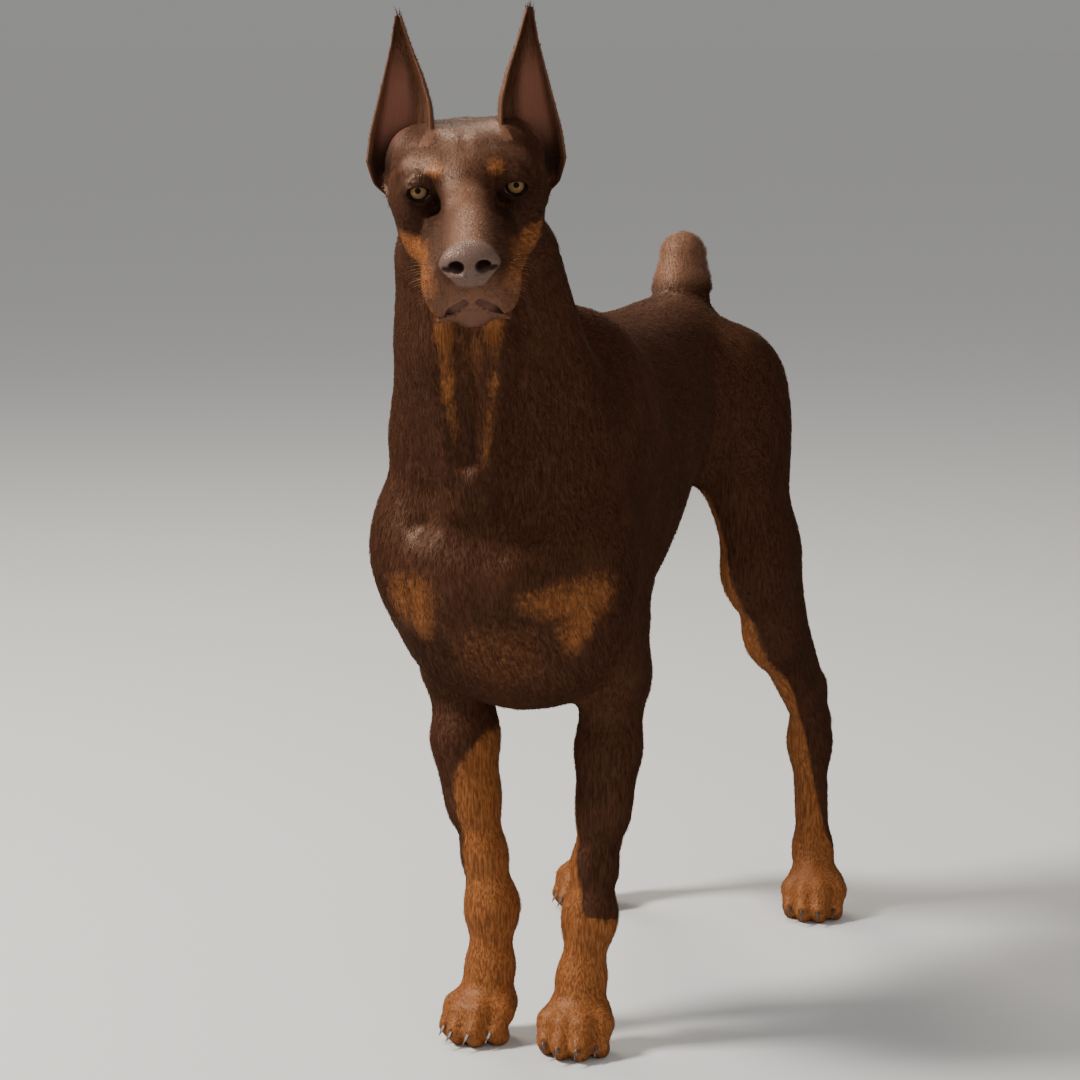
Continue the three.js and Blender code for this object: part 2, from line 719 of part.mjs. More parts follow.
function hindBlock(side, shift) {
  const [inner, outer] = [side * (14 - shift), side * 200];
  const low = [Math.min(inner, outer), 196 - shift, -20];
  const high = [Math.max(inner, outer), 560, 640];
  return legBlock(thighCut(side), low, high, shift);
}

// Torso: the whole middle of the dog less the neck, tail and leg blocks.
let torso = meshed([-160, -390, 264], [160, 440, 750], [25, 34, 26]);
torso = keepBehind(keepBehind(torso, CUTS.neck), CUTS.tail);
for (const side of [1, -1]) torso = torso.subtract(foreBlock(side, 0)).subtract(hindBlock(side, 0));
addNode("torso", torso, flesh);

// Neck and head.
const neck = meshed([-140, -400, 500], [146, -50, 930], [23, 26, 30]);
addNode("neck", keepBehind(keepAhead(neck, CUTS.neck), CUTS.head), flesh);

// The head is meshed in its own frame, so that its grid follows the muzzle. A level above zero
// gives the head grown by that much.
function meshedHead(xs, ys, zs, level) {
  const local = (x, y, z) => body(...inWorld([x, y, z], headMatrix)) - level;
  const { points, triangles } = surfaceOf(local, xs, ys, zs);
  return solidFrom({ points: points.map((p) => inWorld(p, headMatrix)), triangles });
}
const HEAD_X = bands(-93, [-61, 11], [-22, 5.6], [22, 10], [61, 5.6], [93, 11]);
const HEAD_Y = bands(-152, [-86, 9.8], [-18, 13], [15, 5.6], [165, 17]);
const HEAD_Z = bands(-120, [-86, 12], [-38, 8.2], [-14, 8.4], [14, 4.8], [80, 12]);

// A ball with flattened or lengthened radii, placed in the head's frame.
function headBall(centre, radii, around, down, turn = 0) {
  const matrix = headMatrix
    .clone()
    .multiply(new THREE.Matrix4().makeTranslation(...centre))
    .multiply(new THREE.Matrix4().makeRotationZ(THREE.MathUtils.degToRad(turn)))
    .multiply(new THREE.Matrix4().makeRotationX(Math.PI / 2))
    .multiply(new THREE.Matrix4().makeScale(radii[0], radii[2], radii[1]));
  return solidOf(new THREE.SphereGeometry(1, around, down), matrix);
}

// Where a ray from outside, towards the middle of the muzzle, meets the skin.
function onSkin(from, towards) {
  const start = inWorld(from, headMatrix);
  const step = unit(minus(inWorld(towards, headMatrix), start));
  let p = start;
  for (let turn = 0; turn < 60; turn++) p = plus(p, times(step, body(...p) * 0.6));
  return p;
}

// The line of the closed mouth, from one corner round the front to the other.
const MOUTH = [
  [56, -40, -56],
  [56, -66, -67],
  [52, -94, -73],
  [40, -116, -71],
  [24, -136, -62],
  [8, -148, -52],
];
const MOUTH_RADIUS = 2;
function mouthLine() {
  const half = MOUTH.map((p) => onSkin(p, [0, Math.max(p[1], -112), p[2]]));
  const other = MOUTH.map((p) => onSkin(mirrored(p, -1), [0, Math.max(p[1], -112), p[2]]));
  const points = [...half, ...other.reverse()].map((p) => new THREE.Vector3(...p));
  const curve = new THREE.CatmullRomCurve3(points);
  const ring = new THREE.Shape();
  ring.absarc(0, 0, MOUTH_RADIUS, 0, Math.PI * 2);
  return solidOf(
    new THREE.ExtrudeGeometry(ring, { steps: 22, curveSegments: 3, extrudePath: curve }),
  );
}

let head = meshedHead(HEAD_X, HEAD_Y, HEAD_Z, 0);
head = keepBehind(keepAhead(head, CUTS.head), CUTS.nose).subtract(mouthLine());
for (const side of [1, -1]) {
  const eye = mirrored(EYE_AT, side);
  const opening = plus(eye, [side * 1.5, -EYE_RADIUS - 1, 1.2]);
  head = head
    .subtract(headBall(eye, Array(3).fill(EYE_RADIUS + GAP), 14, 10))
    .subtract(headBall(opening, [10.4, 15, 7.4], 12, 8, side * 12));
  addNode(nameOf("eye", side), headBall(eye, Array(3).fill(EYE_RADIUS), 14, 10), amber);
}
addNode("head", head, flesh);

// Nose pad with its two nostrils.
let nose = keepAhead(
  meshedHead(span(-36, 36, 7), span(-162, -98, 7), span(-52, 14, 7), 0),
  CUTS.nose,
);
for (const side of [1, -1]) {
  nose = nose
    .subtract(headBall([side * 9.8, -146, -18.5], [5, 10, 4.6], 8, 6))
    .subtract(headBall([side * 15, -139, -21], [6, 7, 2], 8, 6));
}
addNode("nose", nose, leather);

// Ears: cupped leaves, each ring a crescent that opens forwards and outwards. Heights are above the
// eyes in a frame that only turns with the head, so that the ears stand upright.
const EAR_TURN = 26;
const EAR_THICKNESS = 3.4;
const EAR_LEAN = -0.8;
const EAR_HEIGHT = { 1: 1.02, "-1": 0.98 };
const EAR = [
  { z: -14, x: 54, y: 56, half: 8, depth: 10 },
  { z: 2, x: 58, y: 58, half: 22, depth: 18 },
  { z: 22, x: 57, y: 60, half: 29, depth: 23 },
  { z: 46, x: 53, y: 62, half: 30, depth: 22 },
  { z: 73, x: 51, y: 61, half: 25.5, depth: 17 },
  { z: 97, x: 52, y: 59, half: 18.5, depth: 12 },
  { z: 124, x: 54.5, y: 56, half: 9.5, depth: 6 },
  { z: 151, x: 57, y: 53, half: 2.4, depth: 2.4 },
];
const earFrame = new THREE.Matrix4()
  .makeTranslation(...EYES_AT)
  .multiply(new THREE.Matrix4().makeRotationZ(THREE.MathUtils.degToRad(HEAD_YAW)))
  .multiply(new THREE.Matrix4().makeRotationY(THREE.MathUtils.degToRad(EAR_LEAN)));

function earSolid(side) {
  const rings = 12;
  const across = 8;
  const curve = (key) =>
    new THREE.CatmullRomCurve3(EAR.map((ring) => new THREE.Vector3(ring[key], 0, 0)));
  const [z, x, y, half, depth] = ["z", "x", "y", "half", "depth"].map(curve);
  const read = (line, t) => line.getPoint(t).x;
  const points = [];
  const turn = THREE.MathUtils.degToRad(EAR_TURN);
  for (let i = 0; i < rings; i++) {
    const t = i / (rings - 1);
    const [w, d] = [read(half, t), read(depth, t)];
    const thick = Math.min(EAR_THICKNESS, d * 0.8);
    const edge = (share, inset) => {
      const angle = share * 1.75;
      const u = (w - inset) * (Math.sin(angle) / Math.sin(1.57));
      const v = (d - inset) * Math.cos(angle) - d * 0.45;
      const forward = [side * Math.sin(turn), -Math.cos(turn)];
      const outward = [side * Math.cos(turn), Math.sin(turn)];
      return [
        side * read(x, t) + outward[0] * u - forward[0] * v,
        read(y, t) + outward[1] * u - forward[1] * v,
        read(z, t) * EAR_HEIGHT[side],
      ];
    };
    for (let j = 0; j < across; j++) points.push(edge((2 * j) / (across - 1) - 1, 0));
    for (let j = across - 1; j >= 0; j--) points.push(edge(((2 * j) / (across - 1) - 1) * 0.94, thick));
  }
  const ringSize = 2 * across;
  const triangles = [];
  for (let i = 0; i + 1 < rings; i++)
    for (let j = 0; j < ringSize; j++) {
      const [a, b] = [i * ringSize + j, i * ringSize + ((j + 1) % ringSize)];
      triangles.push(a, b, b + ringSize, a, b + ringSize, a + ringSize);
    }
  for (const [base, flip] of [
    [0, true],
    [(rings - 1) * ringSize, false],
  ])
    for (let j = 0; j + 1 < across; j++) {
      const [a, b] = [base + j, base + j + 1];
      const [c, d] = [base + ringSize - 2 - j, base + ringSize - 1 - j];
      if (flip) triangles.push(a, c, b, a, d, c);
      else triangles.push(a, b, c, a, c, d);
    }
  if (side > 0) for (let i = 0; i < triangles.length; i += 3) triangles.splice(i + 1, 2, triangles[i + 2], triangles[i + 1]);
  return solidFrom({ points: points.map((p) => inWorld(p, earFrame)), triangles });
}
const grownHead = meshedHead(HEAD_X, HEAD_Y, HEAD_Z, GAP);
for (const side of [1, -1]) addNode(nameOf("ear", side), earSolid(side).subtract(grownHead), flesh);

// Legs.
for (const side of [1, -1]) {
  const [x0, x1] = side > 0 ? [0, 150] : [-150, 0];
  const fore = meshed([x0, -200, 20], [x1, 10, 430], [12, 13, 23]).intersect(foreBlock(side, -GAP));
  addNode(nameOf("foreleg", side), keepBehind(fore, wristCut(side)), flesh);
  const thigh = meshed([x0 - 20, 130, 300], [x1 + 20, 460, 660], [20, 22, 26]);
  addNode(
    nameOf("thigh", side),
    keepBehind(thigh.intersect(hindBlock(side, -GAP)), kneeCut(side)),
    flesh,
  );
  const shank = meshed([x0 - 10, 180, 150], [x1 + 10, 540, 460], [13.5, 16, 20]);
  addNode(
    nameOf("shank", side),
    keepBehind(keepAhead(shank, kneeCut(side)), hockCut(side)),
    flesh,
  );
  const hock = meshed([x0 + (side > 0 ? 40 : -30), 320, 10], [x1 + (side > 0 ? 30 : -40), 540, 290], [11, 12, 18]);
  addNode(
    nameOf("rear_pastern", side),
    keepBehind(keepAhead(hock, hockCut(side)), rearPasternCut(side)),
    rust,
  );
}

// A claw at the front of each toe, in the paw's own frame.
const CLAW_RADIUS = 3.8;
const CLAW_LENGTH = 17;
const CLAW_DROP = 30;
function withClaws(paw, matrix, size) {
  for (const { x, back } of TOES) {
    const place = matrix
      .clone()
      .multiply(new THREE.Matrix4().makeTranslation(x * size * 1.05, back - 50, 15))
      .multiply(new THREE.Matrix4().makeRotationX(THREE.MathUtils.degToRad(180 + CLAW_DROP)));
    paw = paw.add(solidOf(new THREE.ConeGeometry(CLAW_RADIUS, CLAW_LENGTH, 5), place));
  }
  return paw;
}

// Paws, with their undersides cut flat on the floor.
const FLOOR = { at: [0, 0, -GAP / 2], normal: [0, 0, -1] };
for (const { name, side, foot, splay, size } of pawPlaces) {
  const [x, y] = foot;
  const paw = meshed([x - 60, y - 78, -14], [x + 60, y + 70, 118], [9.6, 10.2, 10.4]);
  const top = name === "fore_paw" ? wristCut(side) : rearPasternCut(side);
  const trimmed = keepAhead(keepBehind(paw, FLOOR), top);
  addNode(nameOf(name, side), withClaws(trimmed, pawMatrix(foot, splay), size), rust);
}

// Tail.
addNode("tail", keepAhead(meshed([-45, 300, 650], [45, 400, 780], [12, 12, 14]), CUTS.tail), flesh);

// The origin is on the floor under the middle of the dog's own box.
const middle = new THREE.Box3().setFromObject(dog).getCenter(new THREE.Vector3());
dog.position.set(-middle.x, -middle.y, 0);

export default dog;
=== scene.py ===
"""The looks of a life-size doberman pinscher: one skin over all of the body, eyes, claws and coat.

Lengths in the body's own tables are millimetres in the dog's frame: the nose towards -Y, the dog's
own left towards +X, the floor at zero. Meshes are in metres.
"""

import logging
import math
from dataclasses import dataclass, field
from enum import Enum
from typing import Callable, Iterable, Sequence

import bpy
import numpy as np
from mathutils import Euler, Matrix, Vector


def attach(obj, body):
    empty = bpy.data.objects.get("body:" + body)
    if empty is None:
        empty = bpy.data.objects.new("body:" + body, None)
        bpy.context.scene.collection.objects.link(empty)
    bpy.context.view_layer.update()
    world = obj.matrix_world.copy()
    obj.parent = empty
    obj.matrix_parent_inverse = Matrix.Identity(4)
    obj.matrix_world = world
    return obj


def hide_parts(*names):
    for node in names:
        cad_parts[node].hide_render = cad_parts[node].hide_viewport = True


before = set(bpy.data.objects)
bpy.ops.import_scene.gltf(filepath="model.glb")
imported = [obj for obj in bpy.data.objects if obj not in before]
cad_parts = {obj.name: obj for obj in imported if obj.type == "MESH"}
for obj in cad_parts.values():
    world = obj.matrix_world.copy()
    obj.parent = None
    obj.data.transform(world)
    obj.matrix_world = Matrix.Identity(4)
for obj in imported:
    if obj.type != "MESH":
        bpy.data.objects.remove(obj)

LOG = logging.getLogger("doberman")
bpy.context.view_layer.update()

Points = np.ndarray
Socket = bpy.types.NodeSocket
Value = Socket | float | tuple
ORIGIN_SHIFT = np.array([-4.0, 5.44, 0.0])
MM = 0.001

# How far past its own blend a form of the body and a detail of the face are still read, in mm.
FORM_MARGIN = 30
DETAIL_MARGIN = 10
# A weight so small that no strand grows there.
NEVER = 1e-9
# Points whose distance is found at one time.
BATCH = 200_000


def to_metres(points: Points) -> Points:
    """Dog-frame millimetres to the model's metres."""
    return (points + ORIGIN_SHIFT) * MM


def smooth_min(a: Points, b: Points, k: float) -> Points:
    """The lesser of two distances, joined with a rounded fillet of about k."""
    h = np.maximum(k - np.abs(a - b), 0) / k
    return np.minimum(a, b) - h * h * k / 4


def smooth_step(value: Points, low: float, high: float) -> Points:
    """Zero below low, one above high, smooth between."""
    t = np.clip((value - low) / (high - low), 0, 1)
    return t * t * (3 - 2 * t)


def unit(v: Points) -> Points:
    """Vectors scaled to length one."""
    return v / np.maximum(np.linalg.norm(v, axis=-1, keepdims=True), 1e-9)


class Join(Enum):
    """Whether a form adds flesh or presses into it."""

    ADD = "add"
    CUT = "cut"


@dataclass(frozen=True)
class Limb:
    """A tapered round limb from a to b. across and wide flatten or widen its section."""

    a: Sequence[float]
    b: Sequence[float]
    ra: float
    rb: float
    blend: float
    across: Sequence[float] = (1, 0, 0)
    wide: float = 1.0
    join: Join = Join.ADD

    def ball(self) -> tuple[Points, float]:
        """Centre and radius of a ball round the limb."""
        a, b = np.array(self.a, float), np.array(self.b, float)
        reach = max(self.ra, self.rb) * max(1, self.wide)
        return (a + b) / 2, np.linalg.norm(a - b) / 2 + reach

    def distance(self, p: Points) -> Points:
        """Signed distance of points to the limb's surface."""
        a, d = np.array(self.a, float), np.array(self.b, float) - np.array(self.a, float)
        q = p - a
        t = np.clip(q @ d / (d @ d), 0, 1)
        q = q - t[:, None] * d
        if self.wide != 1:
            u = np.array(self.across, float) / np.linalg.norm(self.across)
            q = q + ((q @ u) * (1 / self.wide - 1))[:, None] * u
        radius = self.ra + (self.rb - self.ra) * t
        return (np.sqrt(np.einsum("ij,ij->i", q, q)) - radius) * min(1.0, self.wide)


@dataclass(frozen=True)
class Blob:
    """An ellipsoid with its own turn, in degrees about X, then Y, then Z."""

    centre: Sequence[float]
    radii: Sequence[float]
    blend: float
    turn: Sequence[float] = (0, 0, 0)
    join: Join = Join.ADD

    def ball(self) -> tuple[Points, float]:
        """Centre and radius of a ball round the blob."""
        return np.array(self.centre, float), max(self.radii)

    def distance(self, p: Points) -> Points:
        """Signed distance of points to the blob's surface, near enough close to it."""
        r = np.array(self.radii, float)
        q = p - np.array(self.centre, float)
        if any(self.turn):
            spin = Euler([math.radians(t) for t in self.turn], "XYZ").to_matrix()
            q = q @ np.array(spin)
        k0 = np.sqrt(((q / r) ** 2).sum(1))
        k1 = np.sqrt(((q / (r * r)) ** 2).sum(1))
        return np.where(k1 > 1e-9, k0 * (k0 - 1) / np.maximum(k1, 1e-9), -r.min())


def groove(a: Sequence[float], b: Sequence[float], ra: float, rb: float, blend: float) -> Limb:
    """A groove pressed into the flesh."""
    return Limb(a, b, ra, rb, blend, join=Join.CUT)


def both(make: Callable[[int], list]) -> list:
    """The same forms on the dog's left and right."""
    return [*make(1), *make(-1)]


def press(forms: Iterable, p: Points, d: Points, margin: float) -> Points:
    """Joins forms, in order, with distances that are already there.

    Args:
        forms: limbs, blobs and the like. Each is only read near it.
        p: the points.
        d: their distances, changed in place.
        margin: how far past a form and its blend it is read, in mm.

    Returns:
        The same distances.
    """
    for form in forms:
        centre, radius = form.ball()
        reach = radius + form.blend + margin
        near = np.nonzero(((p - centre) ** 2).sum(1) < reach * reach)[0]
        if not len(near):
            continue
        e = form.distance(p[near])
        if form.join is Join.CUT:
            d[near] = -smooth_min(-d[near], e, form.blend)
        else:
            d[near] = smooth_min(d[near], e, form.blend)
    return d


def fold(forms: Iterable, p: Points, far: float = 1e6) -> Points:
    """Folds forms, in order, into one distance that starts out far."""
    return press(forms, p, np.full(len(p), far), FORM_MARGIN)


@dataclass(frozen=True)
class Placed:
    """Forms in a frame of their own, met by the rest of the body with one blend."""

    forms: tuple
    matrix: Matrix
    blend: float
    centre: Sequence[float]
    reach: float
    join: Join = Join.ADD

    def ball(self) -> tuple[Points, float]:
        """Centre and radius within which the forms are read."""
        return np.array(self.centre, float), self.reach

    def distance(self, p: Points) -> Points:
        """Signed distance in the dog's frame."""
        back = np.array(self.matrix.inverted())
        return fold(self.forms, p @ back[:3, :3].T + back[:3, 3], 200.0)


class Trunk:
    """The rib cage, loin and pelvis: stations along Y of top line, underline, widest height, half width."""

    blend = 40.0
    join = Join.ADD
    stations = np.array(
        [
            [-272, 545, 440, 486, 36],
            [-244, 602, 402, 492, 66],
            [-190, 650, 362, 506, 86],
            [-130, 692, 342, 520, 94],
            [-60, 702, 338, 530, 99],
            [0, 698, 350, 540, 102],
            [70, 693, 380, 552, 98],
            [130, 690, 418, 568, 89],
            [190, 690, 450, 588, 80],
            [250, 693, 476, 600, 74],
            [310, 692, 500, 602, 68],
            [352, 672, 528, 600, 54],
            [382, 636, 548, 594, 32],
        ],
        float,
    )

    def ball(self) -> tuple[Points, float]:
        """Centre and radius of a ball round the trunk."""
        return np.array([0, 53, 520.0]), 420.0

    def lines(self, y: Points) -> list[Points]:
        """The four station values at each y, by a smooth cubic through the stations."""
        s = self.stations
        slope = np.gradient(s[:, 1:], s[:, 0], axis=0)
        i = np.clip(np.searchsorted(s[:, 0], y) - 1, 0, len(s) - 2)
        h = s[i + 1, 0] - s[i, 0]
        t = (y - s[i, 0]) / h
        t2, t3 = t * t, t * t * t
        parts = (2 * t3 - 3 * t2 + 1, (t3 - 2 * t2 + t) * h, 3 * t2 - 2 * t3, (t3 - t2) * h)
        rows = [w[:, None] * v for w, v in zip(parts, (s[i, 1:], slope[i], s[i + 1, 1:], slope[i + 1]))]
        return list(sum(rows).T)

    def distance(self, p: Points) -> Points:
        """Signed distance of points to the trunk's surface."""
        x, y, z = p.T
        at = np.clip(y, self.stations[0, 0], self.stations[-1, 0])
        top, bottom, wide, half = self.lines(at)
        upper = z > wide
        u = np.abs(x) / half
        v = np.where(upper, (z - wide) / (top - wide), (wide - z) / (wide - bottom))
        power = np.where(upper, 2.2, 1.65)
        rho = (u**power + v**power) ** (1 / power)
        radius = np.sqrt(x * x + (z - wide) ** 2)
        side = np.where(rho > 1e-3, radius * (1 - 1 / np.maximum(rho, 1e-3)), -half)
        past = np.abs(y - at)
        return np.where(past < 0.02, side, np.where(side > 0, np.hypot(side, past), past))


@dataclass(frozen=True)
class Joints:
    """Points of one leg, from the body down to the foot."""

    top: Sequence[float]
    middle: Sequence[float]
    low: Sequence[float]
    pastern: Sequence[float]
    foot: Sequence[float]


FORE = {
    1: Joints((75, -96), (67, -105), (56, -112), (51, -122), (52, -134)),
    -1: Joints((-87, -94), (-67, -103), (-46, -109), (-46, -115), (-48, -124)),
}
HIND = {
    1: Joints((70, 306, 602), (103, 272, 396), (114, 446, 196), (119, 450, 70), (128, 430)),
    -1: Joints((-70, 300, 602), (-100, 248, 394), (-110, 404, 194), (-114, 406, 70), (-120, 386)),
}


def add(p: Sequence[float], *q: float) -> tuple:
    """A point moved by an offset."""
    return tuple(a + b for a, b in zip(p, q))


def neck_forms() -> list:
    """Neck from the poll down into the chest, with its crest and throat muscles."""
    line = [
        ((0, -288, 820), 52, 1.08),
        ((0, -272, 765), 58, 1.06),
        ((-2, -240, 690), 72, 1.0),
        ((-2, -190, 610), 94, 0.93),
        ((0, -140, 545), 104, 0.94),
    ]
    forms = [
        Limb(a[0], b[0], a[1], b[1], 30, wide=(a[2] + b[2]) / 2) for a, b in zip(line, line[1:])
    ]
    forms.append(Limb((-2, -262, 830), (-2, -202, 750), 30, 28, 34))
    forms.append(Limb((-2, -202, 750), (0, -126, 692), 28, 26, 44))
    for side in (1, -1):
        forms.append(Limb((20 + side * 22, -330, 762), (10 + side * 20, -308, 690), 15, 17, 22))
        forms.append(Limb((10 + side * 20, -308, 690), (side * 9, -276, 545), 17, 15, 24))
        forms.append(Limb((side * 44, -254, 770), (side * 70, -200, 610), 22, 26, 40))
    forms.append(groove((20, -350, 740), (4, -304, 590), 7, 8, 16))
    return forms


def forequarter_forms(side: int) -> list:
    """Shoulder blade, upper arm and breast muscles."""
    set_in = {1: 0.92, -1: 0.99}[side]

    def at(x: float, y: float, z: float) -> tuple:
        """A point of this side, set in a little."""
        return (x * side * set_in, y, z)

    return [
        Limb(at(56, -112, 650), at(78, -186, 520), 56, 56, 44, wide=0.68),
        Limb(at(64, -74, 600), at(80, -84, 420), 58, 44, 44, wide=0.6),
        Limb(at(80, -196, 490), at(84, -116, 376), 44, 37, 40, wide=0.84),
        Blob(at(76, -192, 478), (38, 48, 62), 44),
        Limb(at(26, -238, 480), at(50, -182, 398), 42, 37, 44),
        Limb(at(30, -226, 440), at(22, -146, 370), 30, 28, 40),
    ]


def foreleg_forms(side: int) -> list:
    """Elbow, forearm, wrist and pastern."""
    j = FORE[side]
    elbow = (*j.top, 352)
    upper = (j.top[0] + (j.middle[0] - j.top[0]) * 0.55, j.middle[1] + 4, 290)
    mid = (*j.middle, 235)
    lower = (j.middle[0] + (j.low[0] - j.middle[0]) * 0.6, j.low[1] + 1, 178)
    wrist = (*j.low, 128)
    pastern = (*j.pastern, 68)
    foot = (*j.foot, 36)
    return [
        Blob(add(elbow, side * 2, 26, 6), (18, 24, 26), 22),
        Limb(elbow, upper, 35, 33, 26, wide=0.82),
        Limb(upper, mid, 33, 25, 24, wide=0.82),
        Limb(mid, lower, 25, 20, 22, wide=0.92),
        Limb(add(upper, side * 4, -12, 0), add(mid, side * 3, -6, -10), 21, 16, 20),
        Limb(lower, wrist, 20.5, 21, 20),
        Blob(add(wrist, 0, -2, -2), (20.5, 21.5, 26), 20),
        Blob(add(wrist, 0, 24, -12), (10, 10, 13), 12),
        Limb(wrist, pastern, 20, 19.5, 20, wide=1.05),
        Limb(pastern, foot, 20, 24, 20, wide=1.1),
    ]


def hind_leg_forms(side: int) -> list:
    """Rump, thigh, stifle, calf, hock and rear pastern."""
    j = HIND[side]
    hip, knee, hock, pastern, foot = j.top, j.middle, j.low, j.pastern, j.foot
    seat = (side * 60, 366, 582)
    calf = tuple(k + (h - k) * 0.32 for k, h in zip(knee, hock))
    return [
        Blob(add(hip, 0, 4, -36), (46, 68, 76), 40),
        Limb(add(hip, 0, 0, -8), add(knee, -side * 6, 16, 40), 56, 44, 40, wide=0.66),
        Limb(seat, add(knee, -side * 5, 62, 24), 44, 26, 44, wide=0.74),
        Limb(add(hip, -side * 6, -46, -30), add(knee, 0, 2, 34), 34, 26, 34, wide=0.8),
        Blob(add(knee, 0, -2, 6), (23, 25, 30), 26),
        Limb(add(knee, 0, 10, 4), calf, 30, 28, 34, wide=0.86),
        Limb(calf, add(hock, 0, -2, 24), 28, 19, 34, wide=0.88),
        Limb(add(knee, -side * 3, 56, 24), add(hock, 0, 20, 56), 27, 11, 44, wide=0.84),
        Limb(add(hock, 0, 22, 60), add(hock, 0, 33, 16), 9, 13, 14),
        Blob(add(hock, 0, 2, 0), (24, 27, 30), 18),
        Limb(add(hock, 0, 30, 14), add(hock, 0, 12, -18), 13, 15, 16),
        Limb(add(hock, 0, 4, -10), pastern, 20, 19, 18),
        Limb(pastern, (foot[0], foot[1], 36), 18.5, 24, 18, wide=1.12),
    ]


@dataclass(frozen=True)
class Paw:
    """One paw in its own frame: origin on the floor under the middle of the foot."""

    foot: Sequence[float]
    splay: float
    size: float
    toes: Sequence[tuple[float, float]] = ((-26, 15), (-9.5, 0), (9.5, 0), (26, 15))

    def matrix(self) -> Matrix:
        """From the paw's frame to the dog's."""
        place = Matrix.Translation((self.foot[0], self.foot[1], 0))
        return place @ Matrix.Rotation(math.radians(self.splay), 4, "Z")

    def forms(self) -> list:
        """Instep, pads and toes."""
        s = self.size
        forms = [
            Blob((0, 2, 30), (27 * s, 26 * s, 24), 12),
            Blob((0, 5, 9), (24 * s, 19 * s, 13), 8),
        ]
        for x, back in self.toes:
            u = x * s
            forms.append(Limb((u * 0.8, -4 + back * 0.6, 36), (u, -27 + back, 31), 13, 13.5, 9))
            forms.append(Limb((u, -27 + back, 31), (u * 1.05, -42 + back, 15), 13, 10.5, 6))
            forms.append(Blob((u * 1.03, -32 + back, 8), (10.5, 14, 11), 5))
        return forms

    def placed(self) -> Placed:
        """The paw's forms in the dog's frame."""
        return Placed(tuple(self.forms()), self.matrix(), 12, (*self.foot, 20), 80)


PAWS = {
    **{("fore_paw", s): Paw(FORE[s].foot, s * 8, 0.94) for s in (1, -1)},
    **{("hind_paw", s): Paw(HIND[s].foot, s * 10, 0.88) for s in (1, -1)},
}


@dataclass(frozen=True)
class HeadFrame:
    """Where the head hangs: the point midway between the eyes, and its turn."""

    eyes_at: Sequence[float] = (39, -383, 836)
    yaw: float = 22
    pitch: float = 17
    roll: float = -3.6
    eye: Sequence[float] = (41, 7, -1)
    eye_radius: float = 12

    def matrix(self) -> Matrix:
        """From the head's frame to the dog's."""
        turn = (
            Matrix.Rotation(math.radians(self.yaw), 4, "Z")
            @ Matrix.Rotation(math.radians(self.pitch), 4, "X")
            @ Matrix.Rotation(math.radians(self.roll), 4, "Y")
        )
        return Matrix.Translation(self.eyes_at) @ turn


HEAD = HeadFrame()


def head_forms() -> list:
    """Skull, cheeks, muzzle, jaw, nose pad, brows and lids."""
    forms = [
        Blob((0, 72, -6), (56, 66, 40), 20),
        Blob((0, 44, 8), (46, 56, 26), 18),
        Limb((0, 30, 13), (0, -24, -6), 23, 17, 16, wide=1.15),
        Limb((0, -14, -15), (0, -116, -20), 22, 17, 14, wide=1.26),
        Limb((0, -20, -40), (0, -112, -42), 34, 27, 16, wide=0.86),
        Limb((0, 10, -60), (0, -106, -66), 24, 14, 12),
        Blob((0, -112, -69), (17, 15, 14), 8),
        Blob((0, 50, -48), (38, 56, 34), 26),
        Blob((0, -125, -19), (25, 16, 17.5), 7),
    ]
    for s in (1, -1):
        forms += [
            Blob((s * 36, 64, 4), (25, 48, 32), 20),
            Blob((s * 46, 44, -22), (23, 44, 34), 22),
            Limb((s * 24, 15, 13), (s * 47, 27, 9), 11, 10, 14),
            Limb((s * 18, -22, -34), (s * 20, -106, -42), 24, 22, 14),
            Blob((s * 24, -90, -57), (16, 38, 24), 12),
            Limb((s * 38, 48, -56), (s * 15, -78, -66), 21, 13, 18),
            Blob((s * 52, 72, 2), (18, 20, 28), 14),
            Blob((s * 29, -20, -12), (3, 10, 3), 16, join=Join.CUT),
            Blob((s * HEAD.eye[0], HEAD.eye[1], HEAD.eye[2]), (16.8, 15.2, 15.4), 5),
        ]
    return forms


@dataclass(frozen=True)
class EarShape:
    """A cupped leaf: rows of height, outward place, back place, half width and depth."""

    rows: Sequence[tuple] = (
        (-14, 54, 56, 8, 10),
        (2, 58, 58, 22, 18),
        (22, 57, 60, 29, 23),
        (46, 53, 62, 30, 22),
        (73, 51, 61, 25.5, 17),
        (97, 52, 59, 18.5, 12),
        (124, 54.5, 56, 9.5, 6),
        (151, 57, 53, 2.4, 2.4),
    )
    turn: float = 26
    lean: float = -0.8
    heights: Sequence[float] = (0.98, 1.02)

    def matrix(self) -> Matrix:
        """A frame that only turns with the head, so that the ears stand upright."""
        turn = Matrix.Rotation(math.radians(HEAD.yaw), 4, "Z")
        lean = Matrix.Rotation(math.radians(self.lean), 4, "Y")
        return Matrix.Translation(HEAD.eyes_at) @ turn @ lean

    def local(self, p: Points, side: int) -> tuple[Points, Points, Points, Points]:
        """Height, share across, way forward of the cup's floor and half width, in one ear's own lines."""
        back = np.array(self.matrix().inverted())
        q = p @ back[:3, :3].T + back[:3, 3]
        rows = np.array(self.rows, float)
        z = q[:, 2] / self.heights[side > 0]
        x0, y0, half, depth = (np.interp(z, rows[:, 0], rows[:, k]) for k in range(1, 5))
        turn = math.radians(self.turn)
        dx, dy = q[:, 0] * side - x0, q[:, 1] - y0
        across = dx * math.cos(turn) + dy * math.sin(turn)
        ahead = dx * math.sin(turn) - dy * math.cos(turn)
        u = across / half
        angle = np.arcsin(np.clip(u, -1, 1)) / (math.pi / 2) * 1.57
        floor = depth * 0.45 - depth * np.cos(angle)
        return z, u, ahead - floor, half


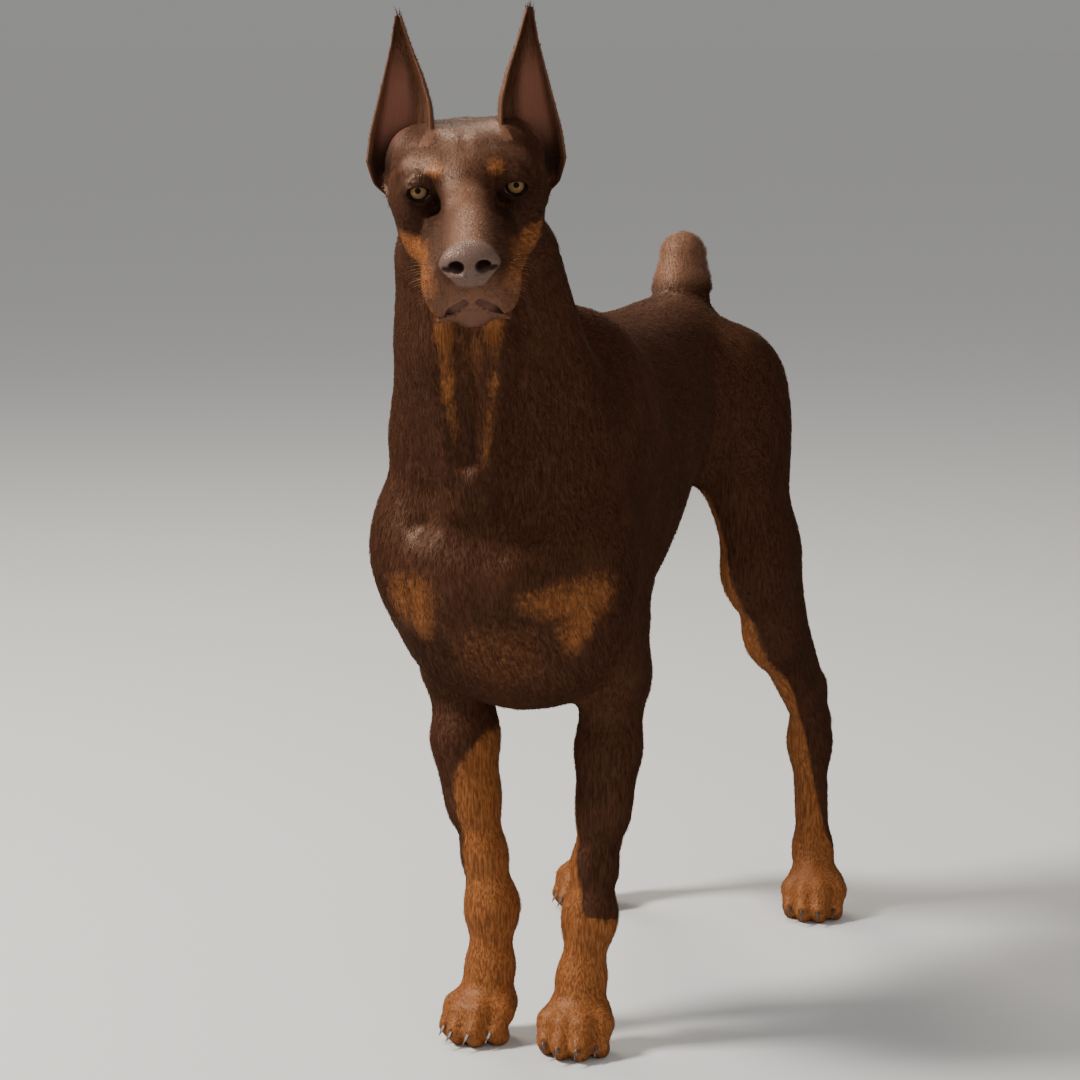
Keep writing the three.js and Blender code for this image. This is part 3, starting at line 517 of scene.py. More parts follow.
@dataclass(frozen=True)
class EarSheet:
    """The root of one ear, a short cupped sheet that joins the leaf to the head."""

    side: int
    blend: float = 9.0
    join: Join = Join.ADD

    def ball(self) -> tuple[Points, float]:
        """Centre and radius of a ball round the ear."""
        return np.array(EAR.matrix() @ Vector((self.side * 55, 58, 68))), 100.0

    def distance(self, p: Points) -> Points:
        """Signed distance of points to the sheet, near enough close to it."""
        z, u, ahead, half = EAR.local(p, self.side)
        slope = 1 + 0.9 * np.clip(np.abs(u), 0, 1) ** 3
        thick = np.interp(z, [-14, 8, 22], [6.5, 4.4, 2.6])
        sheet = np.abs(ahead) / slope - thick
        rim = (np.abs(u) - 0.96) * half * 0.9
        ends = np.maximum(z - 24, EAR.rows[0][0] - z)
        out = np.sqrt(np.maximum(sheet, 0) ** 2 + np.maximum(rim, 0) ** 2 + np.maximum(ends, 0) ** 2)
        return out + np.minimum(np.maximum(np.maximum(sheet, rim), ends), 0)


def ring_quads(rings: int, around: int) -> Points:
    """Quads between neighbouring closed rings of points, one row of four numbers each."""
    i, j = np.meshgrid(np.arange(rings - 1), np.arange(around), indexing="ij")
    a, b = (i * around + j).ravel(), (i * around + (j + 1) % around).ravel()
    return np.stack([a, b, b + around, a + around], 1)


@dataclass(frozen=True)
class EarLeaf:
    """The thin upright leaf of one ear, lofted from its rows, with a rounded rim."""

    side: int
    rings: int = 84
    across: int = 40
    heights: Sequence[float] = (-14, 24, 60, 110, 151)
    thickness: Sequence[float] = (3.0, 5.0, 4.2, 3.2, 2.0)

    def folds(self, z: Points, u: Points) -> Points:
        """Soft upright folds inside the lower cup, and a rolled front rim."""
        low = 1 - smooth_step(z, 44, 84)
        ridge = 2.6 * np.exp(-(((u + 0.42) / 0.10) ** 2)) * low
        ridge += 1.8 * np.exp(-(((u - 0.30) / 0.09) ** 2)) * (1 - smooth_step(z, 24, 58))
        return ridge + 1.0 * smooth_step(np.abs(u), 0.8, 0.97)

    def mesh(self) -> tuple[Points, Points]:
        """The leaf as one closed surface.

        Returns:
            Its points in mm and its quads, facing outwards.
        """
        rows = np.array(EAR.rows, float)
        share = (1 - np.cos(np.linspace(0, np.pi, self.rings))) * 0.5
        share = 0.35 * share + 0.65 * np.linspace(0, 1, self.rings)
        z = rows[0, 0] + (rows[-1, 0] - rows[0, 0]) * share
        order = np.array([np.interp(z, rows[:, 0], rows[:, k]) for k in range(1, 5)])
        for _ in range(3):
            inner = (order[:, :-2] + 2 * order[:, 1:-1] + order[:, 2:]) / 4
            order = np.concatenate([order[:, :1], inner, order[:, -1:]], 1)
        x0, y0, half, depth = (row[:, None] for row in order)
        angle = np.linspace(-1, 1, self.across) * math.pi / 2
        u = np.sin(angle)[None]
        across = half * u
        floor = depth * 0.45 - depth * np.cos(angle)[None]
        tangent = np.stack([half * np.cos(angle)[None], depth * np.sin(angle)[None]], -1)
        tangent /= np.maximum(np.linalg.norm(tangent, axis=-1, keepdims=True), 1e-6)
        facing = np.stack([-tangent[..., 1], tangent[..., 0]], -1)
        thick = np.interp(z, self.heights, self.thickness)[:, None] / 2
        thick = thick * np.sqrt(np.clip(1.04 - u**10, 0.04, 1))
        tall = np.repeat(z[:, None], self.across, 1)
        layers = []
        for way, extra in ((-1, 0 * tall), (1, self.folds(tall, np.repeat(u, self.rings, 0)))):
            push = way * thick + extra
            a = across + facing[..., 0] * push
            f = floor + facing[..., 1] * push
            layers.append((a, f))
        turn = math.radians(EAR.turn)
        out = []
        for a, f in layers:
            dx = a * math.cos(turn) + f * math.sin(turn)
            dy = a * math.sin(turn) - f * math.cos(turn)
            local = np.stack([(x0 + dx) * self.side, y0 + dy, tall * EAR.heights[self.side > 0]], -1)
            out.append(local)
        ring = np.concatenate([out[0], out[1][:, ::-1]], 1)
        size = ring.shape[1]
        m = np.array(EAR.matrix())
        points = ring.reshape(-1, 3) @ m[:3, :3].T + m[:3, 3]
        quads = ring_quads(self.rings, size)
        top = (self.rings - 1) * size
        j = np.arange(self.across - 1)
        cap = np.stack([top + j, top + j + 1, top + size - 2 - j, top + size - 1 - j], 1)
        base = np.stack([j + 1, j, size - 1 - j, size - 2 - j], 1)
        quads = np.concatenate([quads, cap, base])
        middle = points - points.mean(0)
        a, b, c = (middle[quads[:, k]] for k in range(3))
        if np.einsum("ij,ij->i", a, np.cross(b, c)).sum() < 0:
            quads = quads[:, ::-1]
        return points, quads


EAR = EarShape()


# The closed mouth from one corner round the front, a little outside the skin, in the head's frame.
MOUTH = ((43, -38, -55), (42, -64, -66), (38, -92, -73), (31, -112, -71), (18, -127, -61), (6, -134, -52))


def mouth_steps(side: int) -> list[tuple]:
    """The mouth line of one side as pairs of ends."""
    line = [(side * x, y, z) for x, y, z in MOUTH]
    return list(zip(line, line[1:]))


def lip_below(p: Sequence[float]) -> tuple:
    """The lower lip's edge under a point of the mouth line."""
    return (p[0] * 0.96, p[1] + 1, p[2] - 5.5)


def face_details() -> list:
    """Eye openings, mouth line, lower lip, nostrils and whisker pads, finer than the solids show."""
    forms: list = []
    ex, ey, ez = HEAD.eye
    for s in (1, -1):
        # The almond opening with its inner corner.
        forms += [
            Blob((s * (ex + 0.8), ey - 13, ez - 0.4), (9.4, 12, 5.5), 1.2, (0, 0, s * 12), Join.CUT),
            groove((s * (ex - 8), ey - 14.5, ez - 2), (s * (ex - 12), ey - 15.5, ez - 4), 1.8, 0.8, 1.6),
        ]
        steps = mouth_steps(s)
        forms += [groove(a, b, 1.3, 1.3, 2.4) for a, b in steps]
        for a, b in steps[2:]:
            forms.append(Limb(lip_below(a), lip_below(b), 1.8, 1.8, 3.4))
        # Nostrils: a round front opening that runs into a slit on the side.
        forms += [
            Blob((s * 11.6, -142, -19.5), (6.4, 13, 4.9), 1.8, (0, s * 14, 0), Join.CUT),
            Limb((s * 14, -141, -21), (s * 24, -132, -23), 2.8, 1.6, 2.0, join=Join.CUT),
            Limb((s * 5, -140, -27), (s * 17, -134, -28), 2.4, 1.6, 3.0),
            Limb((s * 23, -112, -38), (s * 33, -60, -46), 7, 8, 10),
        ]
    return forms


@dataclass(frozen=True)
class Relief:
    """A shallow valley, or with a negative depth a ridge, along a line near the surface."""

    a: Sequence[float]
    b: Sequence[float]
    depth: float
    width: float

    def change(self, p: Points) -> tuple[Points, Points]:
        """Which points it touches, and how far the surface sinks there."""
        a, b = np.array(self.a, float), np.array(self.b, float)
        reach = np.linalg.norm(a - b) / 2 + self.width * 2.6
        near = np.nonzero(((p - (a + b) / 2) ** 2).sum(1) < reach * reach)[0]
        d = b - a
        q = p[near] - a
        t = np.clip(q @ d / max(d @ d, 1e-6), 0, 1)
        far = ((q - t[:, None] * d) ** 2).sum(1) / self.width**2
        return near, self.depth * np.exp(-far)


def body_reliefs() -> list[Relief]:
    """Valleys between the muscles of the breast, shoulders, back, ribs and thighs."""
    reliefs = [
        Relief((7, -300, 520), (11, -296, 440), 4.5, 12),
        Relief((11, -296, 440), (8, -255, 372), 5.5, 13),
        Relief((-16, -300, 560), (-12, -302, 515), 6, 13),
        Relief((38, -288, 560), (34, -292, 510), 6.5, 14),
        Relief((0, -70, 704), (0, 300, 694), 2.4, 10),
    ]
    for s in (1, -1):
        reliefs += [
            Relief((s * 62, -236, 650), (s * 44, -276, 530), 4.5, 14),
            Relief((s * 56, -258, 520), (s * 44, -238, 396), 5.0, 13),
            Relief((s * 60, -160, 700), (s * 90, -196, 560), 4.0, 15),
            Relief((s * 84, -66, 656), (s * 100, -56, 480), 4.0, 15),
            Relief((s * 98, -118, 520), (s * 98, -92, 420), -3.0, 20),
            Relief((s * 80, 214, 644), (s * 82, 222, 520), 4.5, 17),
            Relief((s * 96, 336, 560), (s * 110, 322, 440), 3.0, 11),
            Relief((s * 108, 262, 500), (s * 114, 282, 420), -2.5, 20),
        ]
        for y in (4, 42, 80, 118):
            reliefs.append(Relief((s * 102, y, 600), (s * 92, y + 26, 440), 1.1, 7))
    return reliefs


def face_reliefs() -> list[Relief]:
    """Folds of the lids, brows, cheeks, lips and nose."""
    m = HEAD.matrix()
    ex, ey, ez = HEAD.eye
    rows = [((0, 6, 34), (0, 54, 40), 1.6, 6), ((0, -146, -24), (0, -138, -54), 2.0, 1.6)]
    for s in (1, -1):
        rows += [
            ((s * 28, -6, 18), (s * 44, 4, 15), -2.4, 8),
            ((s * 50, 38, 6), (s * 52, 44, 0), 3.0, 13),
            ((s * (ex - 11), ey - 15, ez + 8), (s * (ex + 10), ey - 10, ez + 8.4), 1.1, 1.9),
            ((s * (ex - 9), ey - 14, ez + 12.5), (s * (ex + 9), ey - 8, ez + 13), 0.9, 2.2),
            ((s * (ex - 12), ey - 15, ez - 9.5), (s * (ex + 9), ey - 11, ez - 10.5), 0.9, 2.0),
            ((s * (ex - 12), ey - 12, ez - 15), (s * (ex + 6), ey - 8, ez - 16.5), 0.8, 2.6),
            ((s * 40, -74, -36), (s * 48, -18, -46), 1.8, 5),
            ((s * 30, -112, -40), (s * 38, -72, -48), 0.9, 2.6),
            ((s * 26, -120, -50), (s * 36, -86, -58), 0.9, 2.6),
            ((s * 18, -141, -12), (s * 25, -131, -24), 1.4, 2.4),
        ]
    return [Relief(tuple(m @ Vector(a)), tuple(m @ Vector(b)), depth, width) for a, b, depth, width in rows]


TAIL = (Limb((-2, 332, 672), (-4, 346, 698), 34, 27, 20), Limb((-4, 346, 698), (-5, 352, 732), 27, 24, 14))


def body_forms() -> list:
    """All the flesh of the dog in the order that it is folded."""
    head = HEAD.matrix()
    head_centre = tuple(head @ Vector((0, 0, -10)))
    forms: list = [Trunk(), *neck_forms(), *both(forequarter_forms), *both(foreleg_forms)]
    forms += [*both(hind_leg_forms), *TAIL]
    forms.append(Placed(tuple(head_forms()), head, 34, head_centre, 210))
    forms += [EarSheet(1), EarSheet(-1)]
    forms += [paw.placed() for paw in PAWS.values()]
    forms.append(DetailLayer(tuple(face_details()), head, tuple(head @ Vector((0, -60, -20))), 150))
    return forms


@dataclass(frozen=True)
class DetailLayer:
    """Fine grooves and rims of the face, folded one by one onto the body's distance."""

    forms: tuple
    matrix: Matrix
    centre: Sequence[float]
    reach: float

    def apply(self, p: Points, d: Points) -> Points:
        """The distance with the details added."""
        near = np.nonzero(((p - np.array(self.centre)) ** 2).sum(1) < self.reach**2)[0]
        if not len(near):
            return d
        back = np.array(self.matrix.inverted())
        q = p[near] @ back[:3, :3].T + back[:3, 3]
        d[near] = press(self.forms, q, d[near], DETAIL_MARGIN)
        return d


@dataclass
class Flesh:
    """The whole body as one signed distance, its skin the given depth inside the forms, in mm."""

    depth: float
    forms: list = field(init=False)
    details: list = field(init=False)
    reliefs: list = field(init=False)
    lowest: float = 0.4

    def __post_init__(self) -> None:
        """Sorts the body's forms into those that are folded and those that come after."""
        everything = body_forms()
        self.forms = [f for f in everything if not isinstance(f, DetailLayer)]
        self.details = [f for f in everything if isinstance(f, DetailLayer)]
        self.reliefs = [*body_reliefs(), *face_reliefs()]

    def __call__(self, p: Points) -> Points:
        """Signed distance of points to the skin, in mm."""
        p = np.asarray(p, float)
        out = np.empty(len(p))
        for start in range(0, len(p), BATCH):
            part = p[start : start + BATCH]
            d = fold(self.forms, part)
            for layer in self.details:
                d = layer.apply(part, d)
            for relief in self.reliefs:
                near, sunk = relief.change(part)
                d[near] += sunk
            out[start : start + BATCH] = np.maximum(d + self.depth, self.lowest - part[:, 2])
        return out

    def slope(self, p: Points, e: float = 0.4) -> Points:
        """Gradient of the distance, from four samples round each point."""
        corners = np.array([[1, -1, -1], [-1, -1, 1], [-1, 1, -1], [1, 1, 1]], float)
        total = np.zeros_like(p)
        for corner in corners:
            total += corner * self(p + corner * e)[:, None]
        return total / (4 * e)

    def settle(self, p: Points, most: float, rounds: int = 3) -> Points:
        """Points moved onto the surface, by at most the given distance."""
        q = p.copy()
        for _ in range(rounds):
            g = self.slope(q)
            q -= g * (self(q) / np.maximum((g * g).sum(1), 0.3))[:, None]
            moved = q - p
            length = np.linalg.norm(moved, axis=1)
            q = p + moved * np.minimum(1, most / np.maximum(length, 1e-9))[:, None]
        return q


@dataclass
class SkinMesh:
    """Vertices in mm and faces as lists of vertex numbers."""

    points: Points
    quads: Points
    others: list = field(default_factory=list)


@dataclass
class SkinMesher:
    """Meshes the flesh on an even grid of the given step in mm, then splits chosen faces."""

    flesh: Flesh
    step: float
    low: Points = field(default_factory=lambda: np.array([-172.0, -520.0, -12.0]))
    high: Points = field(default_factory=lambda: np.array([176.0, 512.0, 996.0]))
    coarse: int = 4
    safety: float = 1.35

    def samples(self) -> Points:
        """Distances on the grid, exact near the surface and of the right sign elsewhere."""
        coarse = self.coarse
        counts = np.ceil((self.high - self.low) / (self.step * coarse)).astype(int)
        axes = [self.low[a] + np.arange(counts[a] + 1) * self.step * coarse for a in range(3)]
        grid = np.stack(np.meshgrid(*axes, indexing="ij"), -1).reshape(-1, 3)
        wide = self.flesh(grid).reshape(counts + 1)
        reach = self.step * coarse * self.safety
        lowest = np.full(counts, 1e9)
        for corner in np.ndindex(2, 2, 2):
            part = wide[tuple(slice(c, c + n) for c, n in zip(corner, counts))]
            lowest = np.minimum(lowest, np.abs(part))
        cells = lowest < reach
        fine = np.repeat(np.repeat(np.repeat(wide[:-1, :-1, :-1], coarse, 0), coarse, 1), coarse, 2)
        fine = fine.astype(np.float32)
        mask = np.repeat(np.repeat(np.repeat(cells, coarse, 0), coarse, 1), coarse, 2)
        where = np.argwhere(mask)
        fine[mask] = self.flesh(self.low + where * self.step)
        fine[0], fine[-1], fine[:, 0], fine[:, -1], fine[:, :, 0], fine[:, :, -1] = (1,) * 6
        return fine

    def mesh(self) -> SkinMesh:
        """One vertex to each cell that the surface crosses, one quad to each crossed grid edge."""
        d = self.samples()
        inside = d < 0
        shape = np.array(d.shape)
        total = np.zeros(shape - 1, np.uint8)
        for corner in np.ndindex(2, 2, 2):
            total += inside[tuple(slice(c, c + n - 1) for c, n in zip(corner, shape))]
        cells = np.argwhere((total > 0) & (total < 8))
        number = np.full(shape - 1, -1, np.int32)
        number[tuple(cells.T)] = np.arange(len(cells))
        sums = np.zeros((len(cells), 3))
        hits = np.zeros(len(cells))
        for corner in np.ndindex(2, 2, 2):
            for axis in range(3):
                if corner[axis]:
                    continue
                a = cells + np.array(corner)
                b = a.copy()
                b[:, axis] += 1
                da, db = d[tuple(a.T)], d[tuple(b.T)]
                cross = (da < 0) != (db < 0)
                t = np.where(cross, da / np.where(cross, da - db, 1), 0)
                point = a.astype(float)
                point[:, axis] += t
                sums += point * cross[:, None]
                hits += cross
        points = self.low + sums / hits[:, None] * self.step
        quads = []
        for axis in range(3):
            u, v = (axis + 1) % 3, (axis + 2) % 3
            lower = [slice(0, n) for n in shape]
            upper = [slice(0, n) for n in shape]
            lower[axis], upper[axis] = slice(0, shape[axis] - 1), slice(1, shape[axis])
            change = inside[tuple(lower)] != inside[tuple(upper)]
            at = np.argwhere(change)
            at = at[(at[:, u] > 0) & (at[:, v] > 0)]
            flip = ~inside[tuple(at.T)]
            ring = []
            for du, dv in ((1, 1), (0, 1), (0, 0), (1, 0)):
                cell = at.copy()
                cell[:, u] -= du
                cell[:, v] -= dv
                ring.append(number[tuple(cell.T)])
            quad = np.stack(ring, 1)
            quad[flip] = quad[flip][:, ::-1]
            quads.append(quad)
        faces = np.concatenate(quads)
        LOG.info("grid mesh: %d points, %d quads", len(points), len(faces))
        return SkinMesh(self.flesh.settle(points, self.step * 0.6), faces)

    def split(self, skin: SkinMesh, chosen: Points) -> SkinMesh:
        """Splits each chosen quad in four, and gives its neighbours the new edge points.

        Args:
            skin: the mesh to refine.
            chosen: one truth value to each quad.

        Returns:
            The refined mesh, its new points settled on the surface.
        """
        count = len(skin.points)
        near = skin.quads[chosen]
        ends = np.stack([near, np.roll(near, -1, 1)], 2).reshape(-1, 2)
        keys = np.sort(ends, 1)
        keys = keys[:, 0].astype(np.int64) * count + keys[:, 1]
        unique, back = np.unique(keys, return_inverse=True)
        mids = (skin.points[unique // count] + skin.points[unique % count]) / 2
        centres = skin.points[near].mean(1)
        new = self.flesh.settle(np.concatenate([mids, centres]), self.step * 0.5, 2)
        mid_id = (count + back).reshape(-1, 4)
        centre_id = count + len(mids) + np.arange(len(near))
        parts = [
            np.stack([near[:, k], mid_id[:, k], centre_id, mid_id[:, k - 1]], 1) for k in range(4)
        ]
        others = list(skin.others)
        rest = skin.quads[~chosen]
        rest_keys = np.stack([rest, np.roll(rest, -1, 1)], 2)
        rest_keys = np.sort(rest_keys, 2)
        rest_keys = rest_keys[..., 0].astype(np.int64) * count + rest_keys[..., 1]
        place = np.clip(np.searchsorted(unique, rest_keys), 0, len(unique) - 1)
        hit = unique[place] == rest_keys
        touched = hit.any(1)
        for face, row, found in zip(rest[touched], place[touched], hit[touched]):
            ring = []
            for k in range(4):
                ring.append(int(face[k]))
                if found[k]:
                    ring.append(int(count + row[k]))
            others.append(ring)
        lookup = {int(k): count + i for i, k in enumerate(unique)} if others else {}
        for n, ring in enumerate(skin.others):
            fresh = []
            for a, b in zip(ring, ring[1:] + ring[:1]):
                fresh.append(a)
                key = min(a, b) * count + max(a, b)
                if key in lookup:
                    fresh.append(lookup[key])
            others[n] = fresh
        points = np.concatenate([skin.points, new])
        return SkinMesh(points, np.concatenate([*parts, rest[~touched]]), others)


def vertex_normals(points: Points, quads: Points) -> Points:
    """Outward directions at the points of a quad mesh."""
    corner = points[quads]
    face = np.cross(corner[:, 2] - corner[:, 0], corner[:, 3] - corner[:, 1])
    total = np.zeros_like(points)
    for k in range(4):
        np.add.at(total, quads[:, k], face)
    return unit(total)


def mesh_object(
    name: str, points: Points, faces: Sequence[Points], rings: Iterable = ()
) -> bpy.types.Object:
    """A mesh object from arrays of quads or triangles and loose rings.

    Args:
        name: the piece's name.
        points: vertices in metres.
        faces: arrays of vertex numbers, one row to a face.
        rings: faces of other sizes.

    Returns:
        The new object, smooth shaded, linked to the scene.
    """
    mesh = bpy.data.meshes.new(name)
    rings = [np.array(r) for r in rings]
    even = [np.full(len(f), f.shape[1]) for f in faces if len(f)]
    sizes = np.concatenate(even + [[len(r)] for r in rings])
    corners = np.concatenate([f.ravel() for f in faces if len(f)] + rings)
    mesh.vertices.add(len(points))
    mesh.vertices.foreach_set("co", points.astype(np.float32).ravel())
    mesh.loops.add(len(corners))
    mesh.loops.foreach_set("vertex_index", corners.astype(np.int32))
    mesh.polygons.add(len(sizes))
    starts = np.concatenate([[0], np.cumsum(sizes)[:-1]])
    mesh.polygons.foreach_set("loop_start", starts.astype(np.int32))
    mesh.polygons.foreach_set("use_smooth", np.ones(len(sizes), bool))
    mesh.update(calc_edges=True)
    mesh.validate()
    thing = bpy.data.objects.new(name, mesh)
    bpy.context.scene.collection.objects.link(thing)
    return thing


def paint(thing: bpy.types.Object, name: str, values: Points) -> None:
    """Stores one number or colour per vertex under a name."""
    kind = "FLOAT" if values.ndim == 1 else "FLOAT_COLOR"
    layer = thing.data.attributes.new(name, kind, "POINT")
    if values.ndim == 1:
        layer.data.foreach_set("value", values.astype(np.float32))
    else:
        full = np.ones((len(values), 4), np.float32)
        full[:, : values.shape[1]] = values
        layer.data.foreach_set("color", full.ravel())


@dataclass(frozen=True)
class LegMark:
    """Where the dark of a leg gives way to rust, by the angle round the bone from the front outward."""

    bone: Sequence[Sequence[float]]
    reach: float
    heights: Sequence[float]
    angles: Sequence[float]
    inner: Sequence[float]

    def rust(self, p: Points, side: int) -> Points:
        """Share of rust on this leg."""
        m = np.zeros(len(p))
        best = np.full(len(p), 1e9)
        z = p[:, 2]
        start = np.interp(z, self.heights, self.inner)
        end = np.interp(z, self.heights, self.angles)
        for a, b in zip(self.bone, self.bone[1:]):
            a, b = np.array(a, float), np.array(b, float)
            d = b - a
            t = np.clip((p - a) @ d / (d @ d), 0, 1)
            off = p - a - t[:, None] * d
            far = np.linalg.norm(off, axis=1)
            along = d / np.linalg.norm(d)
            ahead = np.array([0.0, along[2], -along[1]])
            ahead = ahead / np.linalg.norm(ahead)
            turn = np.degrees(np.arctan2(off[:, 0] * side, off @ ahead))
            share = smooth_step(turn - start, -14, 14) * (1 - smooth_step(turn - end, -14, 14))
            share = np.where(end > 175, 1.0, share)
            near = (far < best) & (far < self.reach)
            m = np.where(near, share, m)
            best = np.minimum(best, far)
        return m * smooth_step(self.heights[-1] - z, -6, 14)


def leg_marks() -> list[tuple[int, LegMark]]:
    """The markings of all four legs."""
    marks = []
    for s in (1, -1):
        j = FORE[s]
        bone = ((*j.top, 352), (*j.middle, 235), (*j.low, 128), (*j.pastern, 68), (*j.foot, 20))
        if s > 0:
            heights = (0, 118, 134, 150, 188, 243, 285, 320)
            angles = (180, 180, 6, -8, -32, -52, -62, -80)
            inner = (-180, -180, -150, -150, -145, -140, -130, -110)
        else:
            heights = (0, 134, 148, 156, 178, 212, 262, 290, 306)
            angles = (180, 180, 66, 46, 32, 20, 4, -30, -60)
            inner = (-180, -180, -150, -150, -150, -145, -140, -130, -110)
        marks.append((s, LegMark(bone, 62, heights, angles, inner)))
        j = HIND[s]
        bone = (add(j.top, 0, -40, -60), j.middle, j.low, j.pastern, (*j.foot, 20))
        heights = (0, 44, 58, 83, 128, 174, 218, 262, 309, 343, 396, 450, 500)
        angles = (180, 180, 112, 74, 44, 16, 12, 28, 4, -8, -20, -28, -34)
        inner = (-180, -180, -165, -160, -158, -155, -155, -150, -140, -125, -80, -66, -56)
        marks.append((s, LegMark(bone, 74, heights, angles, inner)))
    return marks


class Markings:
    """Where the coat is rust, bare or thin, where shade is painted and where the eyelid rims are dark. All
    places are in the dog's frame.
    """

    def __init__(self) -> None:
        """Reads the head's frame once."""
        self.head = np.array(HEAD.matrix().inverted())
        self.legs = leg_marks()

    def in_head(self, p: Points) -> Points:
        """Points in the head's frame."""
        return p @ self.head[:3, :3].T + self.head[:3, 3]

    @staticmethod
    def spot(p: Points, centre: Sequence[float], radii: Sequence[float], soft: float = 0.35) -> Points:
        """One inside an ellipsoid, falling to zero across its soft rim."""
        r = np.sqrt((((p - np.array(centre)) / np.array(radii)) ** 2).sum(1))
        return 1 - smooth_step(r, 1 - soft, 1 + soft)

    @staticmethod
    def bar(
        p: Points, a: Sequence[float], b: Sequence[float], ra: float, rb: float, soft: float = 0.3
    ) -> Points:
        """One within a tapered bar from a to b."""
        a, b = np.array(a, float), np.array(b, float)
        d = b - a
        t = np.clip((p - a) @ d / (d @ d), 0, 1)
        far = np.linalg.norm(p - a - t[:, None] * d, axis=1) / (ra + (rb - ra) * t)
        return 1 - smooth_step(far, 1 - soft, 1 + soft)

    def rust(self, p: Points) -> Points:
        """Share of rust colour at each point."""
        q = self.in_head(p)
        m = np.zeros(len(p))

        def put(value: Points) -> None:
            """Lays one marking over the others."""
            np.maximum(m, value, out=m)

        # Face: brow spots, muzzle sides, cheeks and chin, with a paler bridge and forehead.
        for s in (1, -1):
            put(self.spot(q, (s * 26, -1, 19), (9, 12, 6), 0.9) * 0.8)
            put(self.bar(q, (s * 36, -112, -42), (s * 40, -62, -35), 15, 14, 0.8) * 0.8)
            put(self.bar(q, (s * 40, -62, -38), (s * 50, -26, -50), 14, 12, 0.8) * 0.8)
            put(self.bar(q, (s * 50, -26, -50), (s * 56, 26, -56), 13, 15, 0.5) * 0.85)
            put(self.bar(q, (s * 24, -108, -62), (s * 30, 0, -84), 16, 30, 0.5) * 0.8)
            put(self.bar(q, (s * 58, 40, 0), (s * 62, 62, -20), 9, 11, 0.7) * 0.45)
        # Throat folds, breast patches and the lower chest.
        put(self.bar(p, (-3, -338, 752), (-7, -316, 652), 11, 6, 0.7) * 0.9)
        put(self.bar(p, (-7, -316, 652), (0, -300, 580), 7, 4, 0.9) * 0.5)
        put(self.bar(p, (43, -334, 752), (35, -314, 662), 11, 6, 0.7) * 0.9)
        put(self.bar(p, (35, -314, 662), (22, -299, 590), 6, 4, 0.9) * 0.5)
        put(self.bar(p, (21, -345, 752), (12, -318, 620), 24, 14, 0.8) * 0.34)
        put(self.bar(p, (-56, -282, 458), (-60, -254, 402), 24, 9, 0.85) * 0.72)
        put(self.spot(p, (-78, -262, 452), (20, 28, 30), 0.8) * 0.62)
        put(self.bar(p, (58, -282, 456), (104, -236, 462), 15, 24, 0.85) * 0.66)
        put(self.bar(p, (92, -243, 448), (84, -232, 398), 26, 9, 0.85) * 0.66)
        put(self.spot(p, (12, -262, 392), (66, 60, 56), 0.7) * 0.34)
        for side, mark in self.legs:
            put(mark.rust(p, side) * (p[:, 0] * side > 4))
        put(self.spot(p, (-4, 388, 655), (22, 20, 28), 0.5))
        return m

    def pale(self, p: Points) -> Points:
        """Share of the pale, thin hair of the bridge, forehead, chin, ear rims and tail."""
        q = self.in_head(p)
        m = self.bar(q, (0, -30, 6), (0, -118, 0), 13, 19, 0.8) * 0.7
        np.maximum(m, self.bar(q, (0, 8, 32), (0, 60, 38), 22, 36, 0.8) * 0.36, out=m)
        np.maximum(m, self.spot(q, (0, -128, -56), (33, 26, 24), 0.7) * 0.62, out=m)
        for s in (1, -1):
            np.maximum(m, self.spot(q, (s * 25, -112, -50), (16, 24, 18), 0.7) * 0.4, out=m)
            np.maximum(m, self.bar(q, (s * 24, 14, 22), (s * 44, 22, 18), 10, 9, 0.8) * 0.3, out=m)
            z, u, ahead, _ = EAR.local(p, s)
            rim = smooth_step(np.abs(u), 0.86, 0.99) * (np.abs(ahead) < 20) * (np.abs(u) < 1.3)
            np.maximum(m, rim * smooth_step(z, 6, 30) * (z < 170) * 0.6, out=m)
        tail = smooth_step(p[:, 2], 694, 716) * (p[:, 1] > 310) * 0.9
        return np.maximum(m, tail)

    def leather(self, p: Points) -> Points:
        """Share of bare nose leather."""
        q = self.in_head(p)
        half = np.interp(q[:, 2], [-37, -30, -22, -8, 0, 3], [10, 17, 26, 26.5, 19, 12])
        pad = 1 - smooth_step(np.abs(q[:, 0]) / half, 0.93, 1.03)
        pad = pad * smooth_step(q[:, 2], -38, -35) * (1 - smooth_step(q[:, 2], -0.5, 3.0))
        return pad * smooth_step(-q[:, 1], 120, 123)

    def lips(self, p: Points) -> Points:
        """Share of bare lip skin along the mouth line and at the front of the chin."""
        q = self.in_head(p)
        m = np.zeros(len(p))
        for s in (1, -1):
            for a, b in mouth_steps(s):
                np.maximum(m, self.bar(q, a, b, 3.6, 4.2, 0.5), out=m)
        np.maximum(m, self.spot(q, (0, -128, -68), (13, 12, 9), 0.5) * 0.5, out=m)
        return m

    def inner_ear(self, p: Points) -> Points:
        """Share of thinly haired pink skin inside the ears."""
        m = np.zeros(len(p))
        for side in (1, -1):
            z, u, ahead, _ = EAR.local(p, side)
            place = smooth_step(z, 14, 44) * (1 - smooth_step(z, 84, 136)) * (np.abs(ahead) < 26)
            band = smooth_step(u, -0.35, 0.2) * (1 - smooth_step(u, 0.74, 0.94)) * 0.85
            np.maximum(m, place * band * smooth_step(ahead, 0.2, 1.2), out=m)
        return m

